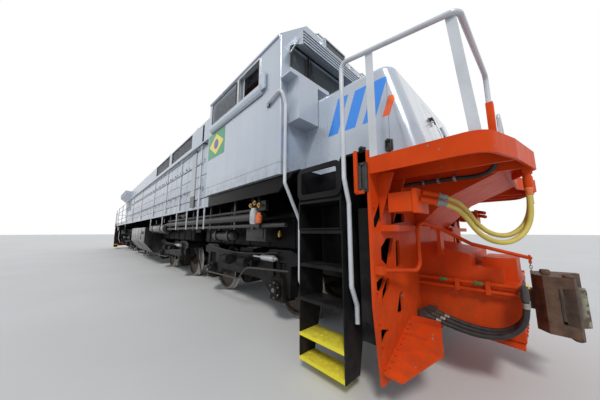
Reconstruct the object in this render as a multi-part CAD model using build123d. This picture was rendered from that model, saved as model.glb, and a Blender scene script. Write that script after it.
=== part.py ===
from build123d import *
import math
import os

# Diesel-electric road locomotive for metre gauge: a full-width cab behind a short nose, a long hood with
# walkways, and four two-axle trucks in pairs under two span bolsters.
# Millimetres. +X forward to the nose end, +Y left, +Z up. The origin is the middle of the footprint, with
# z = 0 at the lowest point of the wheel flanges.

# Wheels and track
GAUGE = 1000.0
WHEEL_DIA = 914.0
FLANGE_DEPTH = 28.0
WHEEL_WIDTH = 130.0
BACK_TO_BACK = GAUGE - 70.0
AXLE_RADIUS = 90.0
JOURNAL_RADIUS = 70.0
JOURNAL_CLEARANCE = 0.5
AXLE_Z = FLANGE_DEPTH + WHEEL_DIA / 2

# Trucks and span bolsters
WHEELBASE = 2400.0
BOLSTER_PIVOT_X = 6140.0
TRUCK_SPACING = 4600.0
TRUCK_FRAME_Y = 850.0
TRUCK_FRAME_WIDTH = 140.0
TRUCK_END = 440.0
TRUCK_PLATE_Z = 1100.0
BODY_PLATE_Z = 1490.0
SEAT_GAP = 0.3

# Body
SKIRT_REAR_X = -10300.0
END_PLATE_X = 11400.0
HALF_WIDTH = 1500.0
DECK_Z = 1968.0
DECK_THICKNESS = 20.0
DECK_BOTTOM = DECK_Z - DECK_THICKNESS
SILL_DEPTH = 200.0
SILL_THICKNESS = 40.0
DECK_HALF = 1440.0
CENTRE_SILL_HALF = 400.0
CENTRE_SILL_Z = 1520.0
PLATE = 25.0

# Cab and nose
CAB_REAR_X = 8140.0
CAB_FRONT_X = 10350.0
CAB_WALL = 60.0
CAB_EAVE_Z = 3768.0
CAB_CROWN_Z = 4190.0
CAB_ROOF_FLAT_HALF = 1050.0
NOSE_FOOT_X = 11750.0
NOSE_TOP_X = 11460.0
NOSE_HALF_REAR = 1060.0
NOSE_HALF_FRONT = 1000.0
NOSE_TOP_Z = 2988.0
NOSE_WALL = 60.0

# Hood
HOOD_HALF = 950.0
HOOD_SHOULDER_HALF = 1050.0
HOOD_NECK = 480.0
HOOD_SHOULDER_Z = 3620.0
HOOD_TOP_Z = 4230.0
HOOD_REAR_X = -10500.0
HOOD_WALL = 60.0
RADIATOR_FRONT_X = -7300.0
RADIATOR_HALF = 1380.0

# Ends and couplers
ANTICLIMBER_REACH = 750.0
ANTICLIMBER_TOP_Z = 1892.0
ANTICLIMBER_DEPTH = 134.0
COUPLER_Z = 708.0
COUPLER_PIVOT_X = 11800.0
COUPLER_FACE_X = 12510.0
POCKET_HALF_HEIGHT = 130.0
KNUCKLE_HALF = 140.0
COUPLER_HEAD_HALF = 228.0
RAIL_TUBE = 20.0

os.makedirs("parts", exist_ok=True)


def block(x0, x1, y0, y1, z0, z1):
    """A straight block between two corners."""
    middle = Pos((x0 + x1) / 2, (y0 + y1) / 2, (z0 + z1) / 2)
    return middle * Box(abs(x1 - x0), abs(y1 - y0), abs(z1 - z0))


def side_prism(points, y0, y1, radius=0.0):
    """An outline in X and Z, made solid from y0 to y1, with its corners rounded where a radius is given."""
    outline = make_face(Polyline(*points, close=True))
    if radius:
        outline = fillet(outline.vertices(), radius)
    solid = extrude(Plane.XZ * outline, amount=-(y1 - y0))
    return Pos(0, y0, 0) * solid


def end_prism(points, x0, x1, radius=0.0):
    """An outline in Y and Z, made solid from x0 to x1."""
    outline = make_face(Polyline(*points, close=True))
    if radius:
        outline = fillet(outline.vertices(), radius)
    solid = extrude(Plane.YZ * outline, amount=x1 - x0)
    return Pos(x0, 0, 0) * solid


def plan_prism(points, z0, z1, radius=0.0):
    """An outline in X and Y, made solid from z0 to z1."""
    outline = make_face(Polyline(*points, close=True))
    if radius:
        outline = fillet(outline.vertices(), radius)
    return Pos(0, 0, z0) * extrude(outline, amount=z1 - z0)


def bar(start, end, radius):
    """A straight round bar between two points."""
    path = Line(start, end)
    return sweep(Plane(origin=start, z_dir=path % 0) * Circle(radius), path=path)


def tube(points, bend, radius):
    """A bent round tube: straight runs through the points, joined by bends of one radius."""
    path = FilletPolyline(*points, radius=bend)
    return sweep(Plane(origin=points[0], z_dir=path % 0) * Circle(radius), path=path)


def drum(x, y, z, radius, length, direction):
    """A round drum centred on a point, along 'x', 'y' or 'z'."""
    turns = {"x": (0, 90, 0), "y": (90, 0, 0), "z": (0, 0, 0)}
    return Pos(x, y, z) * Rot(*turns[direction]) * Cylinder(radius, length)


def other_side(shape):
    """The same piece on the other side of the locomotive."""
    return mirror(shape, Plane.XZ)


def other_end(shape):
    """The same piece at the other end, turned about the upright axis."""
    return Rot(0, 0, 180) * shape


def joined(pieces):
    """Pieces that are welded or cast in one."""
    return pieces[0].fuse(*pieces[1:])


def apart(pieces):
    """Like pieces that share a node and don't touch."""
    solids = []
    for piece in pieces:
        solids.extend(piece.solids())
    return Compound(children=solids)


def save(shape, node):
    export_step(shape, f"parts/{node}.step")


# Wheelsets: one forged axle with its two pressed-on wheels, turned in one profile of radius against Y
def wheelset():
    back = BACK_TO_BACK / 2
    tread = WHEEL_DIA / 2
    rim = tread - 62.0
    hub = AXLE_RADIUS + 45.0
    face = back + WHEEL_WIDTH
    # radius, distance from the middle of the axle
    half = [
        (AXLE_RADIUS - 12, 0),
        (AXLE_RADIUS - 12, back - 120),
        (AXLE_RADIUS + 5, back - 70),
        (AXLE_RADIUS + 5, back - 25),
        (hub, back - 25),
        (hub + 12, back + 40),
        (rim - 30, back + 62),
        (rim, back + 8),
        (tread, back),
        (tread + FLANGE_DEPTH - 6, back),
        (tread + FLANGE_DEPTH, back + 8),
        (tread + FLANGE_DEPTH - 4, back + 20),
        (tread + 4, back + 36),
        (tread, back + 60),
        (tread - 4, face - 6),
        (tread - 10, face),
        (rim, face),
        (rim - 22, back + 95),
        (hub + 16, back + 78),
        (hub, face + 5),
        (AXLE_RADIUS, face + 5),
        (AXLE_RADIUS - 6, face + 60),
        (JOURNAL_RADIUS, face + 75),
        (JOURNAL_RADIUS, TRUCK_FRAME_Y + 110),
        (0, TRUCK_FRAME_Y + 110),
    ]
    outline = half + [(r, -y) for r, y in reversed(half) if y > 0]
    profile = make_face(Polyline(*outline, close=True))
    return revolve(profile, axis=Axis.Y)


# Truck frame: two side frames with pedestals over the axle boxes, a centre transom with the centre bowl and
# an end beam at each end
PEDESTAL_HALF = 155.0
ARCH_Z = 860.0
FRAME_TOP_Z = 1040.0
TRANSOM_HALF = 230.0
TRANSOM_Z = (620.0, 1000.0)
BOWL_RADIUS = 230.0
AXLE_BOX_HALF = 150.0
AXLE_BOX_Z = (AXLE_Z - 150.0, AXLE_Z + 165.0)


def truck_frame():
    axle = WHEELBASE / 2
    end = axle + TRUCK_END
    half_side = [
        (end, ARCH_Z),
        (end, FRAME_TOP_Z - 60),
        (end - 190, FRAME_TOP_Z),
        (axle - 220, FRAME_TOP_Z),
        (axle - 440, FRAME_TOP_Z - 110),
    ]
    foot = [
        (axle - 500, AXLE_Z + 75),
        (axle - PEDESTAL_HALF - 110, AXLE_Z - 60),
        (axle - PEDESTAL_HALF - 90, AXLE_Z - 85),
        (axle - PEDESTAL_HALF, AXLE_Z - 85),
        (axle - PEDESTAL_HALF, ARCH_Z),
        (axle + PEDESTAL_HALF, ARCH_Z),
        (axle + PEDESTAL_HALF, AXLE_Z - 85),
        (axle + PEDESTAL_HALF + 90, AXLE_Z - 85),
        (axle + PEDESTAL_HALF + 100, ARCH_Z - 40),
    ]
    outline = [(-x, z) for x, z in reversed(foot)]
    outline += foot + half_side
    outline += [(-x, z) for x, z in reversed(half_side)]
    y0 = TRUCK_FRAME_Y - TRUCK_FRAME_WIDTH / 2
    y1 = TRUCK_FRAME_Y + TRUCK_FRAME_WIDTH / 2
    side = side_prism(outline, y0, y1)
    for x in (-430.0, 0.0, 430.0):
        window = side_prism([(x - 130, 680), (x + 130, 680), (x + 130, 830), (x - 130, 830)], y0, y1, 40)
        side = side.cut(window)
    z0, z1 = TRANSOM_Z
    transom = block(-TRANSOM_HALF, TRANSOM_HALF, -y0, y0, z0, z1)
    ends = [block(s * end - 60, s * end + 60, -y0, y0, ARCH_Z, FRAME_TOP_Z - 60) for s in (-1, 1)]
    bowl = drum(0, 0, (z1 + TRUCK_PLATE_Z) / 2, BOWL_RADIUS, TRUCK_PLATE_Z - z1, "z")
    return joined([side, other_side(side), transom, bowl] + ends)


# Truck gear: axle boxes, coil springs over them, brake cylinders, hangers and shoes
SPRING_RADIUS = 62.0
BRAKE_GAP = 8.0


def axle_box(x):
    z0, z1 = AXLE_BOX_Z
    y0 = TRUCK_FRAME_Y - 110.0
    y1 = TRUCK_FRAME_Y + 125.0
    shell = block(x - AXLE_BOX_HALF, x + AXLE_BOX_HALF, y0, y1, z0, z1)
    cover = drum(x, y1 + 20, AXLE_Z, 125.0, 40.0, "y")
    cap = drum(x, y1 + 50, AXLE_Z, 80.0, 20.0, "y")
    journal_end = TRUCK_FRAME_Y + 115.0
    bore = drum(x, (y0 + journal_end) / 2, AXLE_Z, JOURNAL_RADIUS + JOURNAL_CLEARANCE, journal_end - y0, "y")
    return joined([shell, cover, cap]).cut(bore)


def coil_spring(x, y, z0, z1):
    """A spring of round wire, drawn as its rings between two flat ends."""
    rings = 5
    pitch = (z1 - z0) / (2 * rings)
    outline = [(0, z0)]
    for i in range(rings):
        z = z0 + 2 * i * pitch
        outline += [(SPRING_RADIUS, z), (SPRING_RADIUS, z + pitch)]
        outline += [(SPRING_RADIUS - 14, z + pitch), (SPRING_RADIUS - 14, z + 2 * pitch)]
    outline.append((0, z1))
    profile = make_face(Polyline(*outline, close=True))
    return Pos(x, y, 0) * revolve(Plane.XZ * profile, axis=Axis.Z)


def brake_rigging(x, towards):
    """Hanger, head and shoe on one wheel; towards is the way to the middle of the truck."""
    tread = WHEEL_DIA / 2
    y0 = BACK_TO_BACK / 2 + 40.0
    y1 = BACK_TO_BACK / 2 + WHEEL_WIDTH
    inner = tread + BRAKE_GAP
    ring = drum(x, (y0 + y1) / 2, AXLE_Z, inner + 50, y1 - y0, "y")
    ring = ring.cut(drum(x, (y0 + y1) / 2, AXLE_Z, inner, y1 - y0, "y"))
    window = block(x + towards * 350, x + towards * (inner + 50), y0, y1, AXLE_Z - 170, AXLE_Z + 170)
    shoe = (ring & window).solid()
    hang = x + towards * (inner + 62)
    arm = block(hang - 18, hang + 18, y0 + 20, y1 - 20, AXLE_Z - 30, 900)
    reach = block(hang - 18, hang + 18, y0 + 20, TRUCK_FRAME_Y - TRUCK_FRAME_WIDTH / 2, 860, 900)
    return joined([shoe, arm, reach])


def brake_cylinder(x, towards):
    y = TRUCK_FRAME_Y + TRUCK_FRAME_WIDTH / 2 + 90.0
    body = drum(x, y, 790, 90, 230, "x")
    rod = drum(x + towards * 190, y, 790, 20, 150, "x")
    eye = block(x + towards * 265 - 25, x + towards * 265 + 25, y - 90, y + 30, 740, 840)
    return joined([body, rod, eye])


def truck_gear():
    pieces = []
    for s in (-1, 1):
        x = s * WHEELBASE / 2
        box = axle_box(x)
        springs = [
            coil_spring(x + dx, TRUCK_FRAME_Y, AXLE_BOX_Z[1], ARCH_Z)
            for dx in (-SPRING_RADIUS - 8, SPRING_RADIUS + 8)
        ]
        one_side = [box] + springs + [brake_rigging(x, -s), brake_cylinder(s * 330, s)]
        pieces += one_side + [other_side(p) for p in one_side]
    return apart(pieces)


# Traction motors: two axle-hung motors with their gear cases
MOTOR_OFFSET = 520.0
MOTOR_RADIUS = 285.0
MOTOR_HALF = 380.0


def traction_motors():
    motors = []
    for s in (-1, 1):
        axle = s * WHEELBASE / 2
        x = axle - s * MOTOR_OFFSET
        body = drum(x, 0, AXLE_Z, MOTOR_RADIUS, 2 * MOTOR_HALF, "y")
        nose = block(s * TRANSOM_HALF, x, -120, 120, 640, 720)
        case = [
            (axle + s * 170, AXLE_Z - 120),
            (axle + s * 170, AXLE_Z + 120),
            (axle + s * 60, AXLE_Z + 190),
            (x, AXLE_Z + 170),
            (x, AXLE_Z - 170),
            (axle + s * 60, AXLE_Z - 190),
        ]
        gear = side_prism(case, MOTOR_HALF, BACK_TO_BACK / 2 - 30)
        gear = gear.cut(drum(axle, MOTOR_HALF, AXLE_Z, AXLE_RADIUS + 15, 400, "y"))
        motors.append(joined([body, nose, gear]))
    return apart(motors)


# Span bolster: the beam that carries the body at its middle and rests on two trucks
def span_bolster():
    half = TRUCK_SPACING / 2
    outline = [
        (-half - 280, TRUCK_PLATE_Z + 40),
        (half + 280, TRUCK_PLATE_Z + 40),
        (half + 280, TRUCK_PLATE_Z + 210),
        (700, BODY_PLATE_Z - 40),
        (-700, BODY_PLATE_Z - 40),
        (-half - 280, TRUCK_PLATE_Z + 210),
    ]
    beam = side_prism(outline, -290, 290)
    pads = []
    for x in (-half, half):
        pads.append(drum(x, 0, TRUCK_PLATE_Z + SEAT_GAP + 25, BOWL_RADIUS - 30, 50, "z"))
    top = drum(0, 0, BODY_PLATE_Z - 30, BOWL_RADIUS, 60, "z")
    arm_low = BODY_PLATE_Z - 200
    arm_top = BODY_PLATE_Z - 50
    arm_points = [
        (-900, arm_low),
        (900, arm_low),
        (900, arm_top - 40),
        (290, arm_top),
        (-290, arm_top),
        (-900, arm_top - 40),
    ]
    arms = end_prism(arm_points, -180, 180)
    return joined([beam, top, arms] + pads)


# Underframe: deck plate, fabricated centre sill, body bolsters over the span bolsters and cross bearers; the
# deck is cut out over the corner steps
BEARER_PITCH = 1150.0
JACK_PAD_Y = 1190.0
JACK_PAD_Z = 1660.0
STEP_WELL_X = (10620.0, 11150.0)
STEP_WELL_Y = 1100.0
SILL_INNER = DECK_HALF - SILL_THICKNESS


def underframe():
    top = DECK_BOTTOM
    pieces = [block(-END_PLATE_X, END_PLATE_X, -DECK_HALF, DECK_HALF, top, DECK_Z)]
    for y in (-CENTRE_SILL_HALF, CENTRE_SILL_HALF - PLATE):
        pieces.append(block(-END_PLATE_X, END_PLATE_X, y, y + PLATE, CENTRE_SILL_Z, top))
    flange = CENTRE_SILL_HALF + 50
    plate_top = CENTRE_SILL_Z - PLATE
    plate_bottom = BODY_PLATE_Z + SEAT_GAP
    pieces.append(block(-END_PLATE_X, END_PLATE_X, -flange, flange, plate_top, CENTRE_SILL_Z))
    arm = SILL_INNER - 100
    for s in (-1, 1):
        x = s * BOLSTER_PIVOT_X
        outline = [
            (-arm, JACK_PAD_Z + 40),
            (-flange - 50, CENTRE_SILL_Z),
            (flange + 50, CENTRE_SILL_Z),
            (arm, JACK_PAD_Z + 40),
            (arm, top),
            (-arm, top),
        ]
        pieces.append(end_prism(outline, x - 250, x + 250))
        for side in (-1, 1):
            y = side * JACK_PAD_Y
            pieces.append(block(x - 120, x + 120, y - 100, y + 100, JACK_PAD_Z, JACK_PAD_Z + 100))
        plate_z = (plate_top + plate_bottom) / 2
        wear_plate = drum(x, 0, plate_z, BOWL_RADIUS + 60, plate_top - plate_bottom, "z")
        pieces.append(wear_plate)
    count = int(2 * END_PLATE_X // BEARER_PITCH)
    for i in range(count):
        x = -END_PLATE_X + (i + 0.5) * 2 * END_PLATE_X / count
        at_bolster = abs(abs(x) - BOLSTER_PIVOT_X) < 300
        at_steps = STEP_WELL_X[0] - 20 < abs(x) < STEP_WELL_X[1] + 20
        if at_bolster or at_steps:
            continue
        for s in (-1, 1):
            outline = [
                (s * CENTRE_SILL_HALF, CENTRE_SILL_Z + 60),
                (s * SILL_INNER, DECK_Z - SILL_DEPTH),
                (s * SILL_INNER, top),
                (s * CENTRE_SILL_HALF, top),
            ]
            pieces.append(end_prism(outline, x - 10, x + 10))
    frame = joined(pieces)
    x0, x1 = STEP_WELL_X
    well = block(x0, x1, STEP_WELL_Y, DECK_HALF, top, DECK_Z)
    wells = [well, other_side(well), other_end(well), other_end(other_side(well))]
    return frame.cut(*wells)


# Side sills: the black plate below the cab and the painted skirt below the walkway
def cab_sill():
    top = DECK_BOTTOM
    low = DECK_Z - SILL_DEPTH
    front = STEP_WELL_X[0] - 100
    outline = [(CAB_REAR_X, low), (front - 270, low), (front, top), (CAB_REAR_X, top)]
    return side_prism(outline, SILL_INNER, DECK_HALF)


def walkway_skirts():
    top = DECK_BOTTOM
    skirt = block(SKIRT_REAR_X, CAB_REAR_X - 1, SILL_INNER, DECK_HALF, DECK_Z - SILL_DEPTH, top)
    return apart([skirt, other_side(skirt)])


# Fuel tank below the middle of the frame, with its lower edges sloped
TANK_HALF_LENGTH = 1750.0
TANK_BOTTOM_Z = 480.0


def fuel_tank():
    low = TANK_BOTTOM_Z
    top = CENTRE_SILL_Z - PLATE
    outline = [(-1400, top), (-1400, low + 420), (-1050, low), (1050, low), (1400, low + 420), (1400, top)]
    return end_prism(outline, -TANK_HALF_LENGTH, TANK_HALF_LENGTH, 60)


# Main air reservoirs, hung on straps below the walkways behind the tank
RESERVOIR_RADIUS = 180.0
RESERVOIR_X = (2150.0, 4300.0)
RESERVOIR_Y = 1150.0
RESERVOIR_Z = 1420.0


def air_reservoir():
    x0, x1 = RESERVOIR_X
    body = drum((x0 + x1) / 2, RESERVOIR_Y, RESERVOIR_Z, RESERVOIR_RADIUS, x1 - x0, "x")
    body = fillet(body.edges(), 80)
    pieces = [body]
    for x in (x0 + 480, x1 - 480):
        strap = drum(x, RESERVOIR_Y, RESERVOIR_Z, RESERVOIR_RADIUS + 12, 60, "x")
        hanger = block(x - 30, x + 30, RESERVOIR_Y - 60, RESERVOIR_Y + 60, RESERVOIR_Z, DECK_BOTTOM)
        pieces += [strap, hanger]
    return joined(pieces)


# Pipes below the sill, with their hangers
SILL_PIPES_Y = 1270.0


def sill_piping():
    # height, radius, rear end, front end
    runs = [
        (1620.0, 28.0, 4700.0, 9500.0),
        (1520.0, 62.0, 4700.0, 9700.0),
        (1390.0, 28.0, 4700.0, 10200.0),
    ]
    pieces = []
    for z, radius, x0, x1 in runs:
        pieces.append(drum((x0 + x1) / 2, SILL_PIPES_Y, z, radius, x1 - x0, "x"))
    for x in (4900.0, 5750.0, 6900.0, 7900.0, 8900.0, 9450.0):
        pieces.append(block(x - 25, x + 25, SILL_PIPES_Y - 20, SILL_PIPES_Y + 20, 1340, DECK_BOTTOM))
    return joined(pieces)


# Engine and generator inside the hood, as one plain block on the deck
ENGINE_X = (-4600.0, 2600.0)
ENGINE_HALF = 720.0
ENGINE_TOP_Z = 3500.0


def engine_block():
    return block(*ENGINE_X, -ENGINE_HALF, ENGINE_HALF, DECK_Z, ENGINE_TOP_Z)


# Long hood: a narrow neck behind the cab, which leaves room for the cab doors to open, then wider shoulders
# with louvred intakes, and the rear end wall
HOOD_BEVEL = 160.0
LOUVRE_DEPTH = 34.0
INTAKES = [
    # rear edge, front edge, lower edge, upper edge
    (900.0, 3100.0, 3728.0, 4140.0),
    (3400.0, 5600.0, 3728.0, 4140.0),
]
INTAKE_BLADES = 9
SLOT_X = (6440.0, 6560.0)


def hood_walls(half, low, inset, x0, x1):
    """Straight walls of one half width from a height up to the bevelled roof, drawn in by the inset."""
    half -= inset
    top = HOOD_TOP_Z - inset
    outline = [
        (-half, low),
        (half, low),
        (half, top - 60),
        (half - HOOD_BEVEL, top),
        (-half + HOOD_BEVEL, top),
        (-half, top - 60),
    ]
    return end_prism(outline, x0, x1)


def intake_blades(x0, x1, z0, z1):
    pitch = (z1 - z0) / INTAKE_BLADES
    root = HOOD_SHOULDER_HALF - HOOD_WALL + 2
    blades = []
    for i in range(INTAKE_BLADES):
        z = z0 + (i + 0.5) * pitch
        blade = end_prism(
            [(root, z), (root + LOUVRE_DEPTH, z - 14), (root + LOUVRE_DEPTH, z - 6), (root, z + 8)], x0, x1
        )
        blades.append(blade)
    return blades


def long_hood():
    shoulder_x = CAB_REAR_X - HOOD_NECK
    neck = hood_walls(HOOD_HALF, DECK_Z, 0, HOOD_REAR_X, CAB_REAR_X)
    shoulders = hood_walls(HOOD_SHOULDER_HALF, HOOD_SHOULDER_Z, 0, HOOD_REAR_X, shoulder_x)
    shell = neck.fuse(shoulders)
    rear = HOOD_REAR_X + HOOD_WALL
    floor = HOOD_SHOULDER_Z + HOOD_WALL
    inside = hood_walls(HOOD_HALF, DECK_Z - 1, HOOD_WALL, rear, CAB_REAR_X - HOOD_WALL)
    above = hood_walls(HOOD_SHOULDER_HALF, floor, HOOD_WALL, rear, shoulder_x - HOOD_WALL)
    shell = shell.cut(inside, above)
    recess = HOOD_SHOULDER_HALF - LOUVRE_DEPTH
    blades = []
    for x0, x1, z0, z1 in INTAKES:
        pocket = block(x0, x1, recess, HOOD_SHOULDER_HALF, z0, z1)
        shell = shell.cut(pocket, other_side(pocket))
        blades += intake_blades(x0, x1, z0, z1)
    slot = block(*SLOT_X, recess, HOOD_SHOULDER_HALF, HOOD_SHOULDER_Z + 40, HOOD_TOP_Z - 120)
    shell = shell.cut(slot, other_side(slot))
    return joined([shell] + blades + [other_side(b) for b in blades])


# Hood doors: two rows of narrow doors on each side, raised on the hood's walls, each with its latch bar
DOOR_PITCH = 610.0
DOOR_ROWS = [
    # lower edge, upper edge
    (2110.0, 2720.0),
    (2790.0, 3560.0),
]
DOORS_X = (-7080.0, 7000.0)
DOOR_PANEL = 14.0


def hood_doors():
    face = HOOD_HALF + SEAT_GAP
    front = face + DOOR_PANEL
    count = int((DOORS_X[1] - DOORS_X[0]) // DOOR_PITCH)
    doors = []
    for i in range(count):
        x0 = DOORS_X[1] - (i + 1) * DOOR_PITCH + 12
        x1 = x0 + DOOR_PITCH - 24
        for z0, z1 in DOOR_ROWS:
            panel = block(x0, x1, face, front, z0, z1)
            middle = (z0 + z1) / 2
            latch = block(x0 + 40, x0 + 64, front, front + 22, middle - 60, middle + 60)
            doors.append(panel.fuse(latch))
    return apart(doors + [other_side(d) for d in doors])


# Radiator cabinet: the wide upper wings at the rear, one each side of the hood
def radiator_wings():
    x0 = HOOD_REAR_X
    x1 = RADIATOR_FRONT_X
    outline = [
        (HOOD_SHOULDER_HALF, HOOD_SHOULDER_Z + 60),
        (RADIATOR_HALF, HOOD_SHOULDER_Z + 320),
        (RADIATOR_HALF, HOOD_TOP_Z - 20),
        (HOOD_SHOULDER_HALF, HOOD_TOP_Z - 60),
    ]
    wing = end_prism(outline, x0, x1)
    return apart([wing, other_side(wing)])


# Cab: side walls with the window band, front wall, rear wall and roof, each as thick as the whole wall
WINDOW_Z = (3258.0, 3690.0)
SIDE_LOUVRES_X = (8280.0, 9200.0)
SIDE_SASH_X = (9300.0, 9880.0)
SLATS = 12
SILL_BOX_X = (8300.0, 9980.0)
SILL_BOX_Z = (3110.0, 3230.0)
SILL_BOX_REACH = 60.0
MIRROR_X = (9930.0, 10060.0)
MIRROR_Z = (3158.0, 3388.0)


def cab_side():
    inner = HALF_WIDTH - CAB_WALL
    wall = block(CAB_REAR_X, CAB_FRONT_X, inner, HALF_WIDTH, DECK_Z - 10, CAB_EAVE_Z)
    corner = wall.edges().filter_by(Axis.Z).group_by(Axis.X)[-1].sort_by(Axis.Y)[-1]
    wall = fillet(corner, 30)
    for x0, x1 in (SIDE_LOUVRES_X, SIDE_SASH_X):
        wall = wall.cut(block(x0, x1, inner, HALF_WIDTH, *WINDOW_Z))
    pieces = [wall]
    x0, x1 = SIDE_LOUVRES_X
    pitch = (WINDOW_Z[1] - WINDOW_Z[0]) / SLATS
    back = HALF_WIDTH - 34
    front = HALF_WIDTH - 6
    for i in range(SLATS):
        z = WINDOW_Z[0] + (i + 0.5) * pitch
        slat = [(back, z + 12), (front, z - 12), (front, z - 7), (back, z + 17)]
        pieces.append(end_prism(slat, x0 - 1, x1 + 1))
    z0, z1 = SILL_BOX_Z
    reach = HALF_WIDTH + SILL_BOX_REACH
    root = HALF_WIDTH - 1
    sill_box = [(root, z0), (reach - 20, z0 + 20), (reach, z0 + 60), (reach, z1), (root, z1)]
    pieces.append(end_prism(sill_box, *SILL_BOX_X))
    drip_rail = block(CAB_REAR_X, CAB_FRONT_X - 40, root, HALF_WIDTH + 16, CAB_EAVE_Z - 24, CAB_EAVE_Z)
    pieces.append(drip_rail)
    x0, x1 = MIRROR_X
    z0, z1 = MIRROR_Z
    pieces.append(block(x0, x1, HALF_WIDTH + 18, HALF_WIDTH + 40, z0, z1))
    pieces.append(block(x1 - 60, x1 - 20, root, HALF_WIDTH + 20, z0 + 40, z1 - 40))
    return joined(pieces)


def cab_roof():
    outer = [
        (-HALF_WIDTH, CAB_EAVE_Z),
        (-CAB_ROOF_FLAT_HALF, CAB_CROWN_Z),
        (CAB_ROOF_FLAT_HALF, CAB_CROWN_Z),
        (HALF_WIDTH, CAB_EAVE_Z),
    ]
    inner = [
        (-HALF_WIDTH + 2 * CAB_WALL, CAB_EAVE_Z),
        (-CAB_ROOF_FLAT_HALF, CAB_CROWN_Z - CAB_WALL),
        (CAB_ROOF_FLAT_HALF, CAB_CROWN_Z - CAB_WALL),
        (HALF_WIDTH - 2 * CAB_WALL, CAB_EAVE_Z),
    ]
    hollow = end_prism(inner, CAB_REAR_X + CAB_WALL, CAB_FRONT_X - CAB_WALL)
    return end_prism(outer, CAB_REAR_X, CAB_FRONT_X).cut(hollow)


def cab_end_wall(x0, x1, windows, radius=0.0):
    half = HALF_WIDTH - CAB_WALL
    wall = block(x0, x1, -half, half, DECK_Z, CAB_EAVE_Z)
    for y0, y1, z0, z1 in windows:
        wall = wall.cut(end_prism([(y0, z0), (y1, z0), (y1, z1), (y0, z1)], x0, x1, radius))
    return wall


PILLAR = 170.0
WINDSCREEN_Z = (3185.0, 3700.0)
WINDSCREEN_RADIUS = 60.0
CENTRE_POST_HALF = 180.0
FRONT_WINDOWS = [
    # right edge, left edge, lower edge, upper edge
    (-HALF_WIDTH + PILLAR, -CENTRE_POST_HALF, *WINDSCREEN_Z),
    (CENTRE_POST_HALF, HALF_WIDTH - PILLAR, *WINDSCREEN_Z),
]
DOOR_POST = 40.0
REAR_DOORS = [
    # right edge, left edge, lower edge, upper edge
    (-HALF_WIDTH + CAB_WALL + DOOR_POST, -HOOD_HALF - DOOR_POST, DECK_Z + 30, CAB_EAVE_Z - 48),
    (HOOD_HALF + DOOR_POST, HALF_WIDTH - CAB_WALL - DOOR_POST, DECK_Z + 30, CAB_EAVE_Z - 48),
]


# Door hinges: three knuckles on one upright pin line, the middle one on the door
DOOR_GAP = 6.0
HINGE_RADIUS = 14.0
HINGE_HEIGHT = 70.0
HINGE_LEAF = 60.0


def hinge_knuckles(x, y, outward, toward_door, heights, on_door):
    """The knuckles and leaves of one part of a hinge; outward is the way the face looks along X."""
    pieces = []
    for z in heights:
        levels = [0.0] if on_door else [-HINGE_HEIGHT - SEAT_GAP, HINGE_HEIGHT + SEAT_GAP]
        for level in levels:
            middle = z + level
            pieces.append(drum(x, y, middle, HINGE_RADIUS, HINGE_HEIGHT, "z"))
            way = toward_door if on_door else -toward_door
            face = x - outward * HINGE_RADIUS
            leaf = block(face, face + outward * 8, y, y + way * HINGE_LEAF, middle - 35, middle + 35)
            pieces.append(leaf)
    return pieces


def hinge_line(face_x, outward, edge_y, toward_door):
    """Where the pin line stands: proud of the face, in the gap beside the door's edge."""
    return face_x + outward * HINGE_RADIUS, edge_y + toward_door * DOOR_GAP / 2


DOOR_HINGE_Z = (2300.0, 3300.0)


def cab_front_wall():
    return cab_end_wall(CAB_FRONT_X - CAB_WALL, CAB_FRONT_X, FRONT_WINDOWS, WINDSCREEN_RADIUS)


# Sunshade over the windscreen with its ribs, and the two blank number boards that stand on it
SHADE_REACH = 200.0
SHADE_HALF = 1310.0
SHADE_Z = (3600.0, 3806.0)
SHADE_RIBS = 5
BOARD_Y = (430.0, 900.0)
BOARD_HEIGHT = 150.0


def windscreen_shade():
    face = CAB_FRONT_X + SEAT_GAP
    front = CAB_FRONT_X + SHADE_REACH
    low, high = SHADE_Z
    outline = [(face, WINDSCREEN_Z[1] + 30), (front, low), (front, high), (face, high)]
    pieces = [side_prism(outline, -SHADE_HALF, SHADE_HALF)]
    pitch = (high - low) / SHADE_RIBS
    for i in range(SHADE_RIBS):
        z = low + (i + 0.5) * pitch
        pieces.append(block(front - 1, front + 14, -SHADE_HALF, SHADE_HALF, z - 8, z + 8))
    y0, y1 = BOARD_Y
    board = block(face, front, y0, y1, high - 1, high + BOARD_HEIGHT)
    frame = block(front - 1, front + 12, y0, y1, high + 1, high + BOARD_HEIGHT)
    frame = frame.cut(block(front, front + 12, y0 + 18, y1 - 18, high + 19, high + BOARD_HEIGHT - 18))
    pieces += [board, frame, other_side(board), other_side(frame)]
    return joined(pieces)


# Ledges below the windscreen: a lipped tread plate with drain slots, on the locker beside the nose
LEDGE_REACH = 180.0
LEDGE_Z = (3140.0, 3165.0)
LEDGE_INNER_Y = 800.0
LOCKER_REACH = 205.0
LOCKER_OUTER_Y = 1385.0
LOCKER_Z = 2600.0


def cab_ledges():
    face = CAB_FRONT_X + SEAT_GAP
    front = CAB_FRONT_X + LEDGE_REACH
    low, high = LEDGE_Z
    plate = block(face, front, LEDGE_INNER_Y, HALF_WIDTH, low, high)
    lip = block(front - 12, front, LEDGE_INNER_Y, HALF_WIDTH, low, high + 30)
    locker_front = CAB_FRONT_X + LOCKER_REACH
    locker = block(face, locker_front, NOSE_HALF_REAR + SEAT_GAP, LOCKER_OUTER_Y, LOCKER_Z, low + 1)
    ledge = joined([plate, lip, locker])
    for i in range(5):
        y = LEDGE_INNER_Y + 40 + i * 48
        ledge = ledge.cut(block(face + 60, face + 110, y, y + 14, low, high))
    return apart([ledge, other_side(ledge)])


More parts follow.
